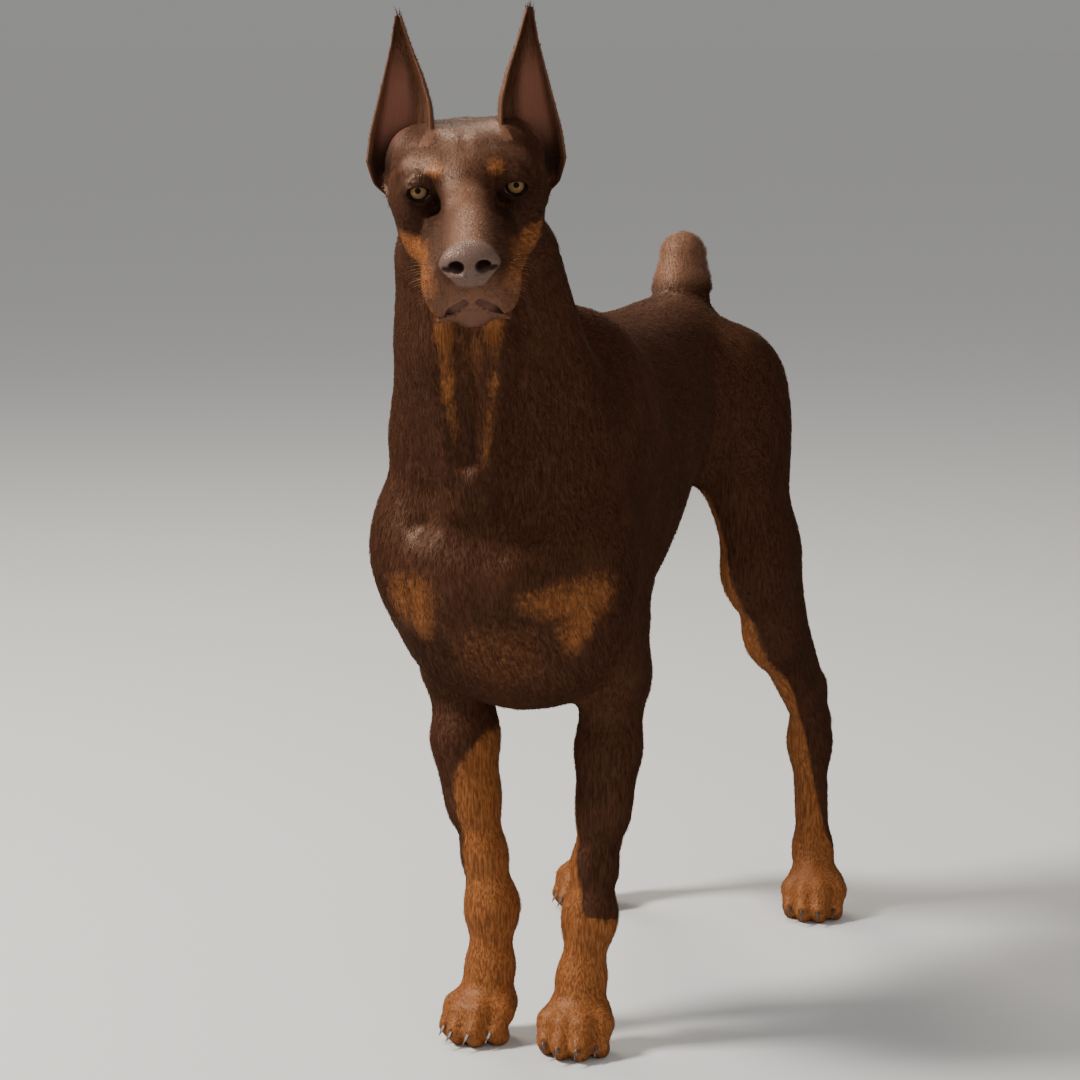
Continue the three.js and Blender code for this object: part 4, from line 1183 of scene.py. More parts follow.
    def dark(self, p: Points) -> Points:
        """Share of painted shade round the eye sockets, down the muzzle sides, in the nostrils, along the
        mouth line and in the lower ear cups, and of the dark eyelid rims.
        """
        q = self.in_head(p)
        m = np.zeros(len(p))
        for s in (1, -1):
            # Painted shade round the eye sockets and down the sides of the muzzle.
            np.maximum(m, self.spot(q, (s * 42, -6, -10), (22, 24, 20), 0.8) * 0.5, out=m)
            np.maximum(m, self.bar(q, (s * 36, -18, -20), (s * 32, -60, -18), 13, 9, 0.8) * 0.4, out=m)
            # The dark eyelid rims, in their own colour.
            eye = (s * (HEAD.eye[0] + 0.6), HEAD.eye[1] - 10, HEAD.eye[2] - 0.4)
            np.maximum(m, self.spot(q, eye, (12.4, 14, 8.4), 0.25) * 0.9, out=m)
            # Painted shade inside the nostrils and their side slits.
            np.maximum(m, self.spot(q, (s * 11.6, -137, -19.5), (6.8, 10.5, 5.2), 0.12), out=m)
            np.maximum(m, self.bar(q, (s * 14, -137, -21), (s * 24, -130, -23), 3.0, 2.2, 0.3) * 0.9, out=m)
            # Painted shade along the mouth line.
            for a, b in mouth_steps(s):
                np.maximum(m, self.bar(q, a, b, 2.0, 2.0, 0.5) * 0.8, out=m)
            # Painted shade in the lower cup of each ear.
            z, u, ahead, _ = EAR.local(p, s)
            cup = (1 - smooth_step(z, 26, 62)) * smooth_step(z, 2, 14) * (np.abs(u) < 0.9)
            np.maximum(m, cup * smooth_step(ahead, 0.2, 1.2) * (np.abs(ahead) < 26) * 0.8, out=m)
        return m


@dataclass(frozen=True)
class Tone:
    """A colour in linear light."""

    r: float
    g: float
    b: float

    def rgba(self) -> tuple[float, float, float, float]:
        """The colour with full alpha."""
        return (self.r, self.g, self.b, 1.0)


@dataclass(frozen=True)
class CoatTones:
    """Colours of the coat and the bare skin."""

    brown: Tone = Tone(0.038, 0.0135, 0.0070)
    brown_light: Tone = Tone(0.100, 0.0385, 0.0195)
    rust: Tone = Tone(0.150, 0.046, 0.0125)
    rust_light: Tone = Tone(0.30, 0.108, 0.031)
    pale: Tone = Tone(0.225, 0.108, 0.064)
    leather: Tone = Tone(0.150, 0.098, 0.080)
    lip: Tone = Tone(0.115, 0.056, 0.043)
    ear: Tone = Tone(0.205, 0.080, 0.055)
    # Painted shade for the eye sockets, nostrils, mouth line and ear cups, and the own colour of the dark
    # eyelid rims.
    shadow: Tone = Tone(0.016, 0.0075, 0.0055)
    glance: Tone = Tone(1.0, 0.62, 0.42)


class NodeKit:
    """Short calls for building a node tree."""

    def __init__(self, tree: bpy.types.NodeTree) -> None:
        """Args:
        tree: the tree to build in.
        """
        self.tree = tree

    def node(self, kind: str, **values: object) -> bpy.types.Node:
        """A new node with the given settings."""
        made = self.tree.nodes.new(kind)
        for key, value in values.items():
            setattr(made, key, value)
        return made

    def link(self, source: Value, target: Socket) -> None:
        """Joins an output to an input, or sets the input's own value."""
        if isinstance(source, (int, float, tuple)):
            target.default_value = source
        else:
            self.tree.links.new(source, target)

    def maths(self, operation: str, *inputs: Value) -> Socket:
        """A maths node's result."""
        made = self.node("ShaderNodeMath", operation=operation)
        for socket, value in zip(made.inputs, inputs):
            self.link(value, socket)
        return made.outputs[0]

    def blend(self, share: Value, a: Value, b: Value) -> Socket:
        """Mixes two colours by a share."""
        made = self.node("ShaderNodeMix", data_type="RGBA")
        self.link(share, made.inputs[0])
        self.link(a, made.inputs[6])
        self.link(b, made.inputs[7])
        return made.outputs[2]

    def reading(self, name: str, output: str = "Fac") -> Socket:
        """A stored vertex value."""
        return self.node("ShaderNodeAttribute", attribute_name=name).outputs[output]

    def noise(self, place: Socket, scale: float, detail: float = 3, rough: float = 0.55) -> Socket:
        """A noise value between zero and one."""
        made = self.node("ShaderNodeTexNoise")
        self.link(place, made.inputs["Vector"])
        made.inputs["Scale"].default_value = scale
        made.inputs["Detail"].default_value = detail
        made.inputs["Roughness"].default_value = rough
        return made.outputs["Fac"]

    def span(self, value: Value, low: float, high: float) -> Socket:
        """Stretches a value so that low is zero and high is one, clamped."""
        made = self.node("ShaderNodeMapRange", interpolation_type="SMOOTHSTEP")
        self.link(value, made.inputs["Value"])
        made.inputs["From Min"].default_value = low
        made.inputs["From Max"].default_value = high
        return made.outputs["Result"]


def new_material(name: str) -> tuple[bpy.types.Material, NodeKit, bpy.types.Node]:
    """A material with nodes, short calls for its tree, and its shader."""
    material = bpy.data.materials.new(name)
    material.use_nodes = True
    tree = material.node_tree
    return material, NodeKit(tree), tree.nodes["Principled BSDF"]


class GrainGroup:
    """Short hair lying along three directions, shared out by the stored lie of the coat."""

    directions = ((-0.15, 0.0, 0.0), (-1.5, 0.0, 0.0), (-0.8, 0.0, 0.0))
    stretch = (1.0, 12.0, 1.0)
    detail = 2.5
    roughness = 0.6
    broad_scale = 9.0

    @classmethod
    def build(cls) -> bpy.types.NodeTree:
        """The group: Scale in, Height and Variation out."""
        tree = bpy.data.node_groups.new("hair_grain", "ShaderNodeTree")
        tree.interface.new_socket("Scale", in_out="INPUT", socket_type="NodeSocketFloat")
        tree.interface.new_socket("Height", in_out="OUTPUT", socket_type="NodeSocketFloat")
        tree.interface.new_socket("Variation", in_out="OUTPUT", socket_type="NodeSocketFloat")
        kit = NodeKit(tree)
        start, end = kit.node("NodeGroupInput"), kit.node("NodeGroupOutput")
        place = kit.node("ShaderNodeTexCoord").outputs["Object"]
        lie = kit.node("ShaderNodeSeparateColor")
        kit.link(kit.reading("lie", "Color"), lie.inputs[0])
        total = None
        for turn, weight in zip(cls.directions, lie.outputs[:3]):
            mapping = kit.node("ShaderNodeMapping", vector_type="TEXTURE")
            kit.link(place, mapping.inputs["Vector"])
            mapping.inputs["Rotation"].default_value = turn
            mapping.inputs["Scale"].default_value = cls.stretch
            made = kit.node("ShaderNodeTexNoise")
            kit.link(mapping.outputs[0], made.inputs["Vector"])
            kit.link(start.outputs["Scale"], made.inputs["Scale"])
            made.inputs["Detail"].default_value = cls.detail
            made.inputs["Roughness"].default_value = cls.roughness
            part = kit.maths("MULTIPLY", made.outputs["Fac"], weight)
            total = part if total is None else kit.maths("ADD", total, part)
        kit.link(total, end.inputs["Height"])
        broad = kit.noise(place, cls.broad_scale, 4, 0.6)
        kit.link(broad, end.inputs["Variation"])
        return tree


@dataclass(frozen=True)
class CoatFinish:
    """The coat and bare skin as one material that reads the stored markings."""

    tones: CoatTones
    grain: bpy.types.NodeTree
    hair_scale: float = 620.0
    border_scale: float = 160.0
    ragged: float = 3.6
    leather_scale: float = 900.0
    pebble_scale: float = 700.0
    pebble_height: float = 0.7
    roughness: float = 0.42
    hair_roughness: float = 0.12
    bare_gloss: float = 0.1
    specular: float = 0.42
    sheen: float = 0.03
    sheen_roughness: float = 0.35
    bump: float = 0.55
    bump_distance: float = 0.0011

    def colour(self, kit: NodeKit, place: Socket, streak: Socket, broad: Socket) -> Socket:
        """The coat's colour: brown, then rust, pale hair, ear skin, lips, nose, and last painted shade with
        the dark eyelid rims.

        Args:
            kit: the material's nodes.
            place: object coordinates.
            streak: hair streaks, zero to one.
            broad: slow variation over the body.

        Returns:
            The colour's socket.
        """
        t = self.tones
        light = t.brown_light.rgba()
        brown = kit.blend(kit.maths("MULTIPLY", streak, 0.55), t.brown.rgba(), light)
        brown = kit.blend(kit.maths("MULTIPLY", kit.span(broad, 0.45, 0.75), 0.35), brown, light)
        rust = kit.blend(streak, t.rust.rgba(), t.rust_light.rgba())
        share = kit.reading("rust")
        fine = kit.noise(place, self.border_scale, 3, 0.7)
        border = kit.maths("MULTIPLY", share, kit.maths("SUBTRACT", 1.0, share))
        border = kit.maths("MULTIPLY", border, self.ragged)
        ragged = kit.maths("MULTIPLY", kit.maths("SUBTRACT", fine, 0.5), border)
        colour = kit.blend(kit.span(kit.maths("ADD", share, ragged), 0.12, 0.88), brown, rust)
        spots = kit.span(kit.noise(place, self.leather_scale, 2), 0.4, 0.6)
        leather = kit.blend(kit.maths("MULTIPLY", spots, 0.35), t.leather.rgba(), t.lip.rgba())
        # The last layer, dark, lays painted shade and the dark eyelid rims over the rest.
        layers = (
            ("pale", t.pale.rgba()),
            ("ear", t.ear.rgba()),
            ("lip", t.lip.rgba()),
            ("leather", leather),
            ("dark", t.shadow.rgba()),
        )
        for name, tone in layers:
            colour = kit.blend(kit.reading(name), colour, tone)
        return colour

    def build(self, name: str, strands: bool) -> bpy.types.Material:
        """The material, for the skin or for the strands over it.

        Args:
            name: the material's name.
            strands: true for the strands, which are too thin to need bump.

        Returns:
            The material.
        """
        material, kit, shader = new_material(name)
        place = kit.node("ShaderNodeTexCoord").outputs["Object"]
        grain = kit.node("ShaderNodeGroup", node_tree=self.grain)
        grain.inputs["Scale"].default_value = self.hair_scale
        height, broad = grain.outputs["Height"], grain.outputs["Variation"]
        streak = kit.span(height, 0.36, 0.64)
        kit.link(self.colour(kit, place, streak, broad), shader.inputs["Base Color"])
        bare = kit.maths("MAXIMUM", kit.reading("leather"), kit.reading("lip"))
        rough = kit.maths("ADD", kit.maths("MULTIPLY", streak, self.hair_roughness), self.roughness)
        rough = kit.maths("SUBTRACT", rough, kit.maths("MULTIPLY", bare, self.bare_gloss))
        kit.link(rough, shader.inputs["Roughness"])
        shader.inputs["Specular IOR Level"].default_value = self.specular
        shader.inputs["Specular Tint"].default_value = self.tones.glance.rgba()
        shader.inputs["Sheen Weight"].default_value = self.sheen
        shader.inputs["Sheen Roughness"].default_value = self.sheen_roughness
        shader.inputs["Sheen Tint"].default_value = self.tones.glance.rgba()
        if strands:
            return material
        pebble = kit.node("ShaderNodeTexVoronoi")
        kit.link(place, pebble.inputs["Vector"])
        pebble.inputs["Scale"].default_value = self.pebble_scale
        hair = kit.maths("MULTIPLY", height, kit.maths("SUBTRACT", 1.0, bare))
        on_nose = kit.maths("MULTIPLY", kit.reading("leather"), self.pebble_height)
        relief = kit.maths("ADD", hair, kit.maths("MULTIPLY", pebble.outputs["Distance"], on_nose))
        bump = kit.node("ShaderNodeBump")
        bump.inputs["Strength"].default_value = self.bump
        bump.inputs["Distance"].default_value = self.bump_distance
        kit.link(relief, bump.inputs["Height"])
        kit.link(bump.outputs["Normal"], shader.inputs["Normal"])
        return material


class Lie:
    """Which way the coat lies: along the bones, from nose to tail and down the legs."""

    def __init__(self) -> None:
        """Lists the strokes in the dog's frame."""
        head, ears = HEAD.matrix(), EAR.matrix()

        def h(*p: float) -> tuple:
            """A point of the head's frame in the dog's."""
            return tuple(head @ Vector(p))

        def e(*p: float) -> tuple:
            """A point of the ears' frame in the dog's."""
            return tuple(ears @ Vector(p))

        self.strokes = [
            (h(0, -128, -5), h(0, -10, 8)),
            (h(0, -10, 12), h(0, 110, 34)),
            ((0, -255, 850), (0, -110, 700)),
            ((0, -340, 750), (0, -270, 480)),
            ((0, -110, 700), (0, 330, 690)),
            ((0, -250, 440), (0, -120, 340)),
            ((0, -120, 340), (0, 250, 480)),
        ]
        for s in (1, -1):
            self.strokes += [
                (h(s * 40, -110, -45), h(s * 50, -20, -45)),
                (h(s * 50, -20, -40), h(s * 60, 90, -30)),
                (e(s * 58, 60, 15), e(s * 56, 55, 145)),
                ((s * 60, -240, 760), (s * 95, -160, 560)),
                ((s * 95, -180, 560), (s * 105, -90, 400)),
                ((s * 100, -60, 600), (s * 105, 60, 500)),
                ((s * 100, 60, 540), (s * 85, 230, 520)),
                ((s * 85, 240, 640), (s * 110, 330, 480)),
                ((*FORE[s].top, 350), (*FORE[s].foot, 40)),
                (HIND[s].top, HIND[s].middle),
                (HIND[s].middle, HIND[s].low),
                ((s * 90, 390, 600), (s * 105, 350, 430)),
                (HIND[s].low, (*HIND[s].foot, 40)),
                ((FORE[s].foot[0], FORE[s].foot[1], 40), (FORE[s].foot[0], FORE[s].foot[1] - 45, 12)),
                ((HIND[s].foot[0], HIND[s].foot[1], 40), (HIND[s].foot[0], HIND[s].foot[1] - 45, 12)),
            ]
        self.strokes.append(((-4, 350, 690), (-5, 356, 760)))

    def along(self, p: Points, normal: Points) -> Points:
        """Unit directions in the surface at each point."""
        total = np.zeros_like(p)
        for a, b in self.strokes:
            a, b = np.array(a, float), np.array(b, float)
            d = b - a
            t = np.clip((p - a) @ d / (d @ d), 0, 1)
            far2 = ((p - a - t[:, None] * d) ** 2).sum(1)
            total += unit(d) / (far2 + 400)[:, None] ** 1.5
        total -= (total * normal).sum(1)[:, None] * normal
        return unit(total)

    @staticmethod
    def shares(flow: Points) -> Points:
        """How much each of the grain's three directions counts."""
        axes = []
        for turn in GrainGroup.directions:
            spin = Euler(turn, "XYZ").to_matrix()
            axes.append(np.array(spin @ Vector((0, 1, 0))))
        weight = np.abs(flow @ np.array(axes).T) ** 8
        return weight / weight.sum(1, keepdims=True)


class BakePatches:
    """A flat layout of the skin by its own faces, in which each strand gets a small patch."""

    columns = 6
    rows = 4
    span_mm = 620.0
    patch = 0.003

    @classmethod
    def corner(cls, p: Points, normal: Points) -> Points:
        """Where each root lies in the layout."""
        axis = np.abs(normal).argmax(1)
        sign = np.take_along_axis(normal, axis[:, None], 1)[:, 0] > 0
        chart = axis * 2 + sign
        part = (p[:, 0] > 0) * 1 + (p[:, 1] > 110) * 2
        across = np.where(axis == 0, p[:, 1] - np.where(part >= 2, 110, -520), p[:, 0] + 180)
        up = np.where(axis == 2, p[:, 1] - np.where(part >= 2, 110, -520), p[:, 2])
        u = (chart + np.clip(across / cls.span_mm, 0, 0.97)) / cls.columns
        v = (part + np.clip(up / 1010.0, 0, 0.97)) / cls.rows
        return np.stack([u, v], 1)

    @staticmethod
    def lay_out(thing: bpy.types.Object, uv: Points) -> None:
        """Stores one place in the layout to each vertex of a coat piece."""
        index = np.zeros(len(thing.data.loops), np.int32)
        thing.data.loops.foreach_get("vertex_index", index)
        layer = thing.data.uv_layers.new(name="OFBake")
        layer.data.foreach_set("uv", uv[index].astype(np.float32).ravel())


@dataclass(frozen=True)
class StrandSizes:
    """Length, width and thickness of the strands in mm, and how steeply they rise."""

    length: float
    width: float
    thick: float
    rise: float


@dataclass
class Coat:
    """Solid strands over the skin: fine and flat, longest on the tail, throat and rump."""

    markings: Markings
    lie: Lie
    seed: int = 7
    corners: int = 7
    quick_share: int = 5
    random: np.random.Generator = field(init=False)

    def __post_init__(self) -> None:
        """Starts the random numbers."""
        self.random = np.random.default_rng(self.seed)

    def roots(
        self, points: Points, triangles: Points, weight: Points, count: int
    ) -> tuple[Points, Points]:
        """Random points on the skin, more where the weight is higher.

        Args:
            points: the skin's points in mm.
            triangles: the skin as triangles.
            weight: one number to each point.
            count: how many roots.

        Returns:
            The roots and the outward directions of the skin there.
        """
        a, b, c = (points[triangles[:, k]] for k in range(3))
        area = np.linalg.norm(np.cross(b - a, c - a), axis=1) * weight[triangles].mean(1)
        pick = self.random.choice(len(triangles), count, p=area / area.sum())
        facing = unit(np.cross(b - a, c - a))[pick]
        u, v = self.random.random((2, count))
        flip = u + v > 1
        u[flip], v[flip] = 1 - u[flip], 1 - v[flip]
        return a[pick] + u[:, None] * (b - a)[pick] + v[:, None] * (c - a)[pick], facing

    def strands(self, name: str, roots: Points, normal: Points, sizes: StrandSizes) -> bpy.types.Object:
        """Three-sided tapered strands, one to each root.

        Args:
            name: the piece's name.
            roots: where they grow, in mm.
            normal: outward directions at the roots.
            sizes: their sizes.

        Returns:
            The piece with its markings and layout stored.
        """
        n = len(roots)
        flow = self.lie.along(roots, normal)
        side = np.cross(normal, flow)
        r = self.random
        lean = r.normal(0, 0.16, n)[:, None]
        flow = unit(flow + side * lean)
        side = np.cross(normal, flow)
        length = (sizes.length * r.uniform(0.65, 1.25, n))[:, None]
        rise = (np.radians(sizes.rise) * r.uniform(0.3, 1.5, n))[:, None]
        half = sizes.width / 2 * r.uniform(0.7, 1.2, n)[:, None]
        out = flow * np.cos(rise) + normal * np.sin(rise)
        base = roots - normal * 0.5
        middle = roots + out * length * 0.5 + normal * 0.12
        droop = normal * (length * np.sin(rise) * 0.35)
        tip = roots + out * length * 0.95 - droop + side * lean * length * 0.4
        verts = np.stack(
            [
                base - side * half,
                base + side * half,
                base + normal * sizes.thick,
                middle - side * half * 0.8,
                middle + side * half * 0.8,
                middle + normal * sizes.thick,
                tip,
            ],
            1,
        )
        first = (np.arange(n) * self.corners)[:, None]
        quads = np.array([[0, 3, 5, 2], [2, 5, 4, 1], [1, 4, 3, 0]])
        tris = np.array([[3, 6, 5], [5, 6, 4], [4, 6, 3]])
        quad_faces = (first[:, None] + quads[None]).reshape(-1, 4)
        tri_faces = (first[:, None] + tris[None]).reshape(-1, 3)
        thing = mesh_object(name, to_metres(verts.reshape(-1, 3)), [quad_faces, tri_faces])
        dress_points(thing, roots, flow, self.markings, self.corners)
        tilt = normal + side * r.normal(0, 0.16, n)[:, None] + flow * r.normal(0.1, 0.12, n)[:, None]
        thing.data.normals_split_custom_set_from_vertices(np.repeat(unit(tilt), self.corners, 0).tolist())
        corner = BakePatches.corner(roots, normal)
        local = np.array([[0, 0], [1, 0], [0.5, 0], [0, 0.5], [1, 0.5], [0.5, 0.5], [0.5, 1]])
        uv = (corner[:, None] + (local * BakePatches.patch)[None]).reshape(-1, 2)
        BakePatches.lay_out(thing, uv)
        return thing


    def regions(self, p: Points) -> list[tuple[str, Points, int, StrandSizes]]:
        """The pieces of the coat, each of under two hundred thousand triangles.

        Args:
            p: the skin's points in mm.

        Returns:
            Each piece's name, its share of the points, its count of strands and their sizes.
        """
        q = self.markings.in_head(p)
        bare = np.maximum(self.markings.leather(p), self.markings.lips(p))
        on_head = (q[:, 1] < 95) & (q[:, 2] > -95)
        low = p[:, 2] < 110
        tail = (p[:, 1] > 310) & (p[:, 2] > 694)
        ear = np.zeros(len(p), bool)
        for side in (1, -1):
            z, u, ahead, _ = EAR.local(p, side)
            ear |= (z > 20) & (np.abs(u) < 1.2) & (np.abs(ahead) < 24) & (z < 145)
        rim = ear & (self.markings.inner_ear(p) < 0.5)
        head = on_head & (bare < 0.3) & ~ear
        front = p[:, 1] < -120
        left = p[:, 0] > 0
        high, mid = p[:, 2] > 440, (p[:, 2] <= 440) & ~low
        hairs = StrandSizes(10, 0.5, 0.2, 7)
        return [
            ("coat_head", head, 21000, StrandSizes(4.5, 0.36, 0.15, 8)),
            ("coat_ears", rim, 9000, StrandSizes(3.6, 0.34, 0.15, 20)),
            ("coat_neck_left", ~on_head & front & high & left, 17000, hairs),
            ("coat_neck_right", ~on_head & front & high & ~left, 17000, hairs),
            ("coat_side_left", ~front & high & ~tail & left, 16000, hairs),
            ("coat_side_right", ~front & high & ~tail & ~left, 16000, hairs),
            ("coat_fore_legs", mid & (p[:, 1] < 20), 19000, StrandSizes(7.5, 0.45, 0.2, 7)),
            ("coat_hind_legs", mid & (p[:, 1] >= 20), 17000, StrandSizes(8, 0.45, 0.2, 7)),
            ("coat_feet", low & (p[:, 2] > 14), 9000, StrandSizes(4.5, 0.38, 0.18, 9)),
            ("coat_tail", tail, 7000, StrandSizes(7, 0.4, 0.18, 42)),
        ]

    def build(self, skin: SkinMesh) -> list[bpy.types.Object]:
        """Grows every region of the coat, in order.

        Args:
            skin: the skin's mesh.

        Returns:
            The pieces.
        """
        triangles = np.concatenate([skin.quads[:, :3], skin.quads[:, [0, 2, 3]]])
        pieces = []
        for name, where, count, sizes in self.regions(skin.points):
            number = count
            roots, normal = self.roots(skin.points, triangles, where.astype(float) + NEVER, number)
            pieces.append(self.strands(name, roots, normal, sizes))
            LOG.info("%s: %d strands", name, number)
        return pieces

    @staticmethod
    def dress(piece: bpy.types.Object, material: bpy.types.Material) -> None:
        """Gives a coat piece its finish and its place on the body."""
        piece.data.materials.append(material)
        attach(piece, "root")


@dataclass(frozen=True)
class Whiskers:
    """Stiff hairs in rows on the upper lips, a few at the chin, cheeks and brows."""

    rows: int = 5
    each: int = 6
    rings: int = 6
    sides: int = 5
    thick: float = 0.34

    def starts(self) -> list[tuple]:
        """Root, direction and length of each whisker, in the head's frame."""
        out = []
        random = np.random.default_rng(11)
        for s in (1, -1):
            for row in range(self.rows):
                for k in range(self.each):
                    t = k / (self.each - 1)
                    root = (s * (25 + 13 * t), -122 + 46 * t + random.normal(0, 1.5), -32 - 6.5 * row)
                    way = (s * 1.0, 0.15 + 0.5 * t, -0.25 - 0.12 * row)
                    out.append((root, way, 9 + 16 * t * random.random()))
            out.append(((s * 46, 10, -38), (s * 1.0, 0.3, -0.4), 20))
            out.append(((s * 34, -8, 18), (s * 0.35, -0.6, 0.8), 16))
            out.append(((s * 8, -126, -78), (s * 0.2, -0.4, -1.0), 12))
        return out

    def build(self, flesh: Flesh, markings: Markings, lie: Lie) -> bpy.types.Object:
        """All whiskers as one piece."""
        m = HEAD.matrix()
        turn = m.to_3x3()
        verts, faces = [], []
        for root, way, length in self.starts():
            at = flesh.settle(np.array([m @ Vector(root)]), 14.0, 5)[0]
            outward = unit(flesh.slope(at[None]))[0]
            way = unit(np.array(turn @ Vector(way)) + outward * 0.9)
            side = unit(np.cross(way, outward + 0.01))
            up = np.cross(side, way)
            base = len(verts)
            for i in range(self.rings):
                t = i / (self.rings - 1)
                centre = at - outward * 0.6 + way * length * t - np.array([0, 0, 1]) * length * 0.22 * t * t
                r = self.thick * (1 - 0.88 * t)
                for j in range(self.sides):
                    angle = 2 * math.pi * j / self.sides
                    verts.append(centre + r * (side * math.cos(angle) + up * math.sin(angle)))
            faces.append(base + ring_quads(self.rings, self.sides))
        points = np.array(verts)
        thing = mesh_object("coat_whiskers", to_metres(points), [np.concatenate(faces)])
        normal = unit(flesh.slope(points))
        dress_points(thing, points, lie.along(points, normal), markings)
        a_whisker = self.rings * self.sides
        number = np.arange(len(points))
        roots = np.repeat(points[::a_whisker], a_whisker, 0)
        outward = np.repeat(normal[::a_whisker], a_whisker, 0)
        across = number % self.sides / self.sides
        local = np.stack([across, (number // self.sides % self.rings) / self.rings], 1)
        BakePatches.lay_out(thing, BakePatches.corner(roots, outward) + local * BakePatches.patch)
        return thing


def dress_points(
    thing: bpy.types.Object, p: Points, flow: Points, markings: Markings, each: int = 1
) -> None:
    """Stores the markings and the lie of the coat on a piece.

    Args:
        thing: the piece.
        p: points in mm, one to each group of vertices.
        flow: the lie of the coat at the points.
        markings: where the coat is rust or bare, and where shade is painted or the eyelid rims are dark.
        each: vertices in a group.
    """
    shares = {
        "rust": markings.rust,
        "pale": markings.pale,
        "leather": markings.leather,
        "lip": markings.lips,
        "ear": markings.inner_ear,
        # dark holds painted shade in hollows and creases, and the dark eyelid rims.
        "dark": markings.dark,
    }
    for name, share in shares.items():
        paint(thing, name, np.repeat(share(p), each))
    paint(thing, "lie", np.repeat(Lie.shares(flow), each, 0))


@dataclass(frozen=True)
class EyeFinish:
    """Wet amber eye with fine spokes in the iris. Limits are angles off the eye's axis."""

    amber: Tone = Tone(0.21, 0.128, 0.058)
    deep: Tone = Tone(0.085, 0.045, 0.020)
    rim: Tone = Tone(0.012, 0.008, 0.006)
    white: Tone = Tone(0.22, 0.15, 0.12)
    pupil: Sequence[float] = (0.235, 0.195)
    inner: Sequence[float] = (0.28, 0.56)
    edge: Sequence[float] = (0.56, 0.65)
    outer: Sequence[float] = (0.86, 0.96)
    spokes: float = 14.0
    roughness: float = 0.05
    coat_roughness: float = 0.02

    def build(self) -> bpy.types.Material:
        """The material."""
        material, kit, shader = new_material("amber_eye")
        off = kit.reading("off_axis")
        spoke = kit.node("ShaderNodeCombineXYZ")
        kit.link(kit.maths("MULTIPLY", kit.reading("round"), self.spokes), spoke.inputs[0])
        kit.link(kit.maths("MULTIPLY", off, 3.0), spoke.inputs[1])
        streak = kit.span(kit.noise(spoke.outputs[0], 1.6, 3, 0.6), 0.35, 0.65)
        iris = kit.blend(streak, self.deep.rgba(), self.amber.rgba())
        iris = kit.blend(kit.span(off, *self.inner), self.amber.rgba(), iris)
        colour = kit.blend(kit.span(off, *self.edge), iris, self.rim.rgba())
        colour = kit.blend(kit.span(off, *self.outer), colour, self.white.rgba())
        colour = kit.blend(kit.span(off, *self.pupil), colour, self.rim.rgba())
        kit.link(colour, shader.inputs["Base Color"])
        shader.inputs["Roughness"].default_value = self.roughness
        shader.inputs["Coat Weight"].default_value = 1.0
        shader.inputs["Coat Roughness"].default_value = self.coat_roughness
        return material


@dataclass(frozen=True)
class Eye:
    """One eyeball, its front along -Y in the head's frame, with a slight bulge over the iris."""

    side: int
    steps: int = 40
    around: int = 48
    bulge: float = 0.055
    bulge_spread: float = 0.42
    outward: float = 6.0
    lift: float = -16.0

    def build(self) -> bpy.types.Object:
        """The ball, with each point's angle off the axis and round it stored for the finish."""
        points = []
        for i in range(self.steps + 1):
            angle = math.pi * i / self.steps
            r = HEAD.eye_radius * (1 + self.bulge * math.exp(-((angle / self.bulge_spread) ** 2)))
            for j in range(self.around):
                turn = 2 * math.pi * j / self.around
                wide = r * math.sin(angle)
                points.append((wide * math.cos(turn), -r * math.cos(angle), wide * math.sin(turn)))
        points = np.array(points)
        x, y, z = HEAD.eye
        place = HEAD.matrix() @ Matrix.Translation((self.side * x, y, z))
        place = place @ Matrix.Rotation(math.radians(self.side * self.outward), 4, "Z")
        m = np.array(place @ Matrix.Rotation(math.radians(self.lift), 4, "X"))
        world = points @ m[:3, :3].T + m[:3, 3]
        name = "eye_ball_left" if self.side > 0 else "eye_ball_right"
        thing = mesh_object(name, to_metres(world), [ring_quads(self.steps + 1, self.around)])
        off = np.arccos(np.clip(-points[:, 1] / np.linalg.norm(points, axis=1), -1, 1))
        paint(thing, "off_axis", off)
        paint(thing, "round", np.arctan2(points[:, 2], points[:, 0]))
        return thing

    def dress(self, thing: bpy.types.Object) -> None:
        """Gives the ball its finish and its place on the body."""
        thing.data.materials.append(EyeFinish().build())
        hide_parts("eye_left" if self.side > 0 else "eye_right")
        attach(thing, "root")


@dataclass(frozen=True)
class Horn:
    """Claw horn: dark brown with fine lengthwise streaks."""

    dark: Tone = Tone(0.030, 0.017, 0.012)
    light: Tone = Tone(0.085, 0.05, 0.035)
    scale: float = 420.0
    roughness: float = 0.28

    def build(self) -> bpy.types.Material:
        """The material."""
        material, kit, shader = new_material("horn")
        streak = kit.noise(kit.node("ShaderNodeTexCoord").outputs["Object"], self.scale, 3)
        colour = kit.blend(kit.span(streak, 0.35, 0.65), self.dark.rgba(), self.light.rgba())
        kit.link(colour, shader.inputs["Base Color"])
        rough = kit.maths("ADD", kit.maths("MULTIPLY", streak, 0.2), self.roughness)
        kit.link(rough, shader.inputs["Roughness"])
        return material


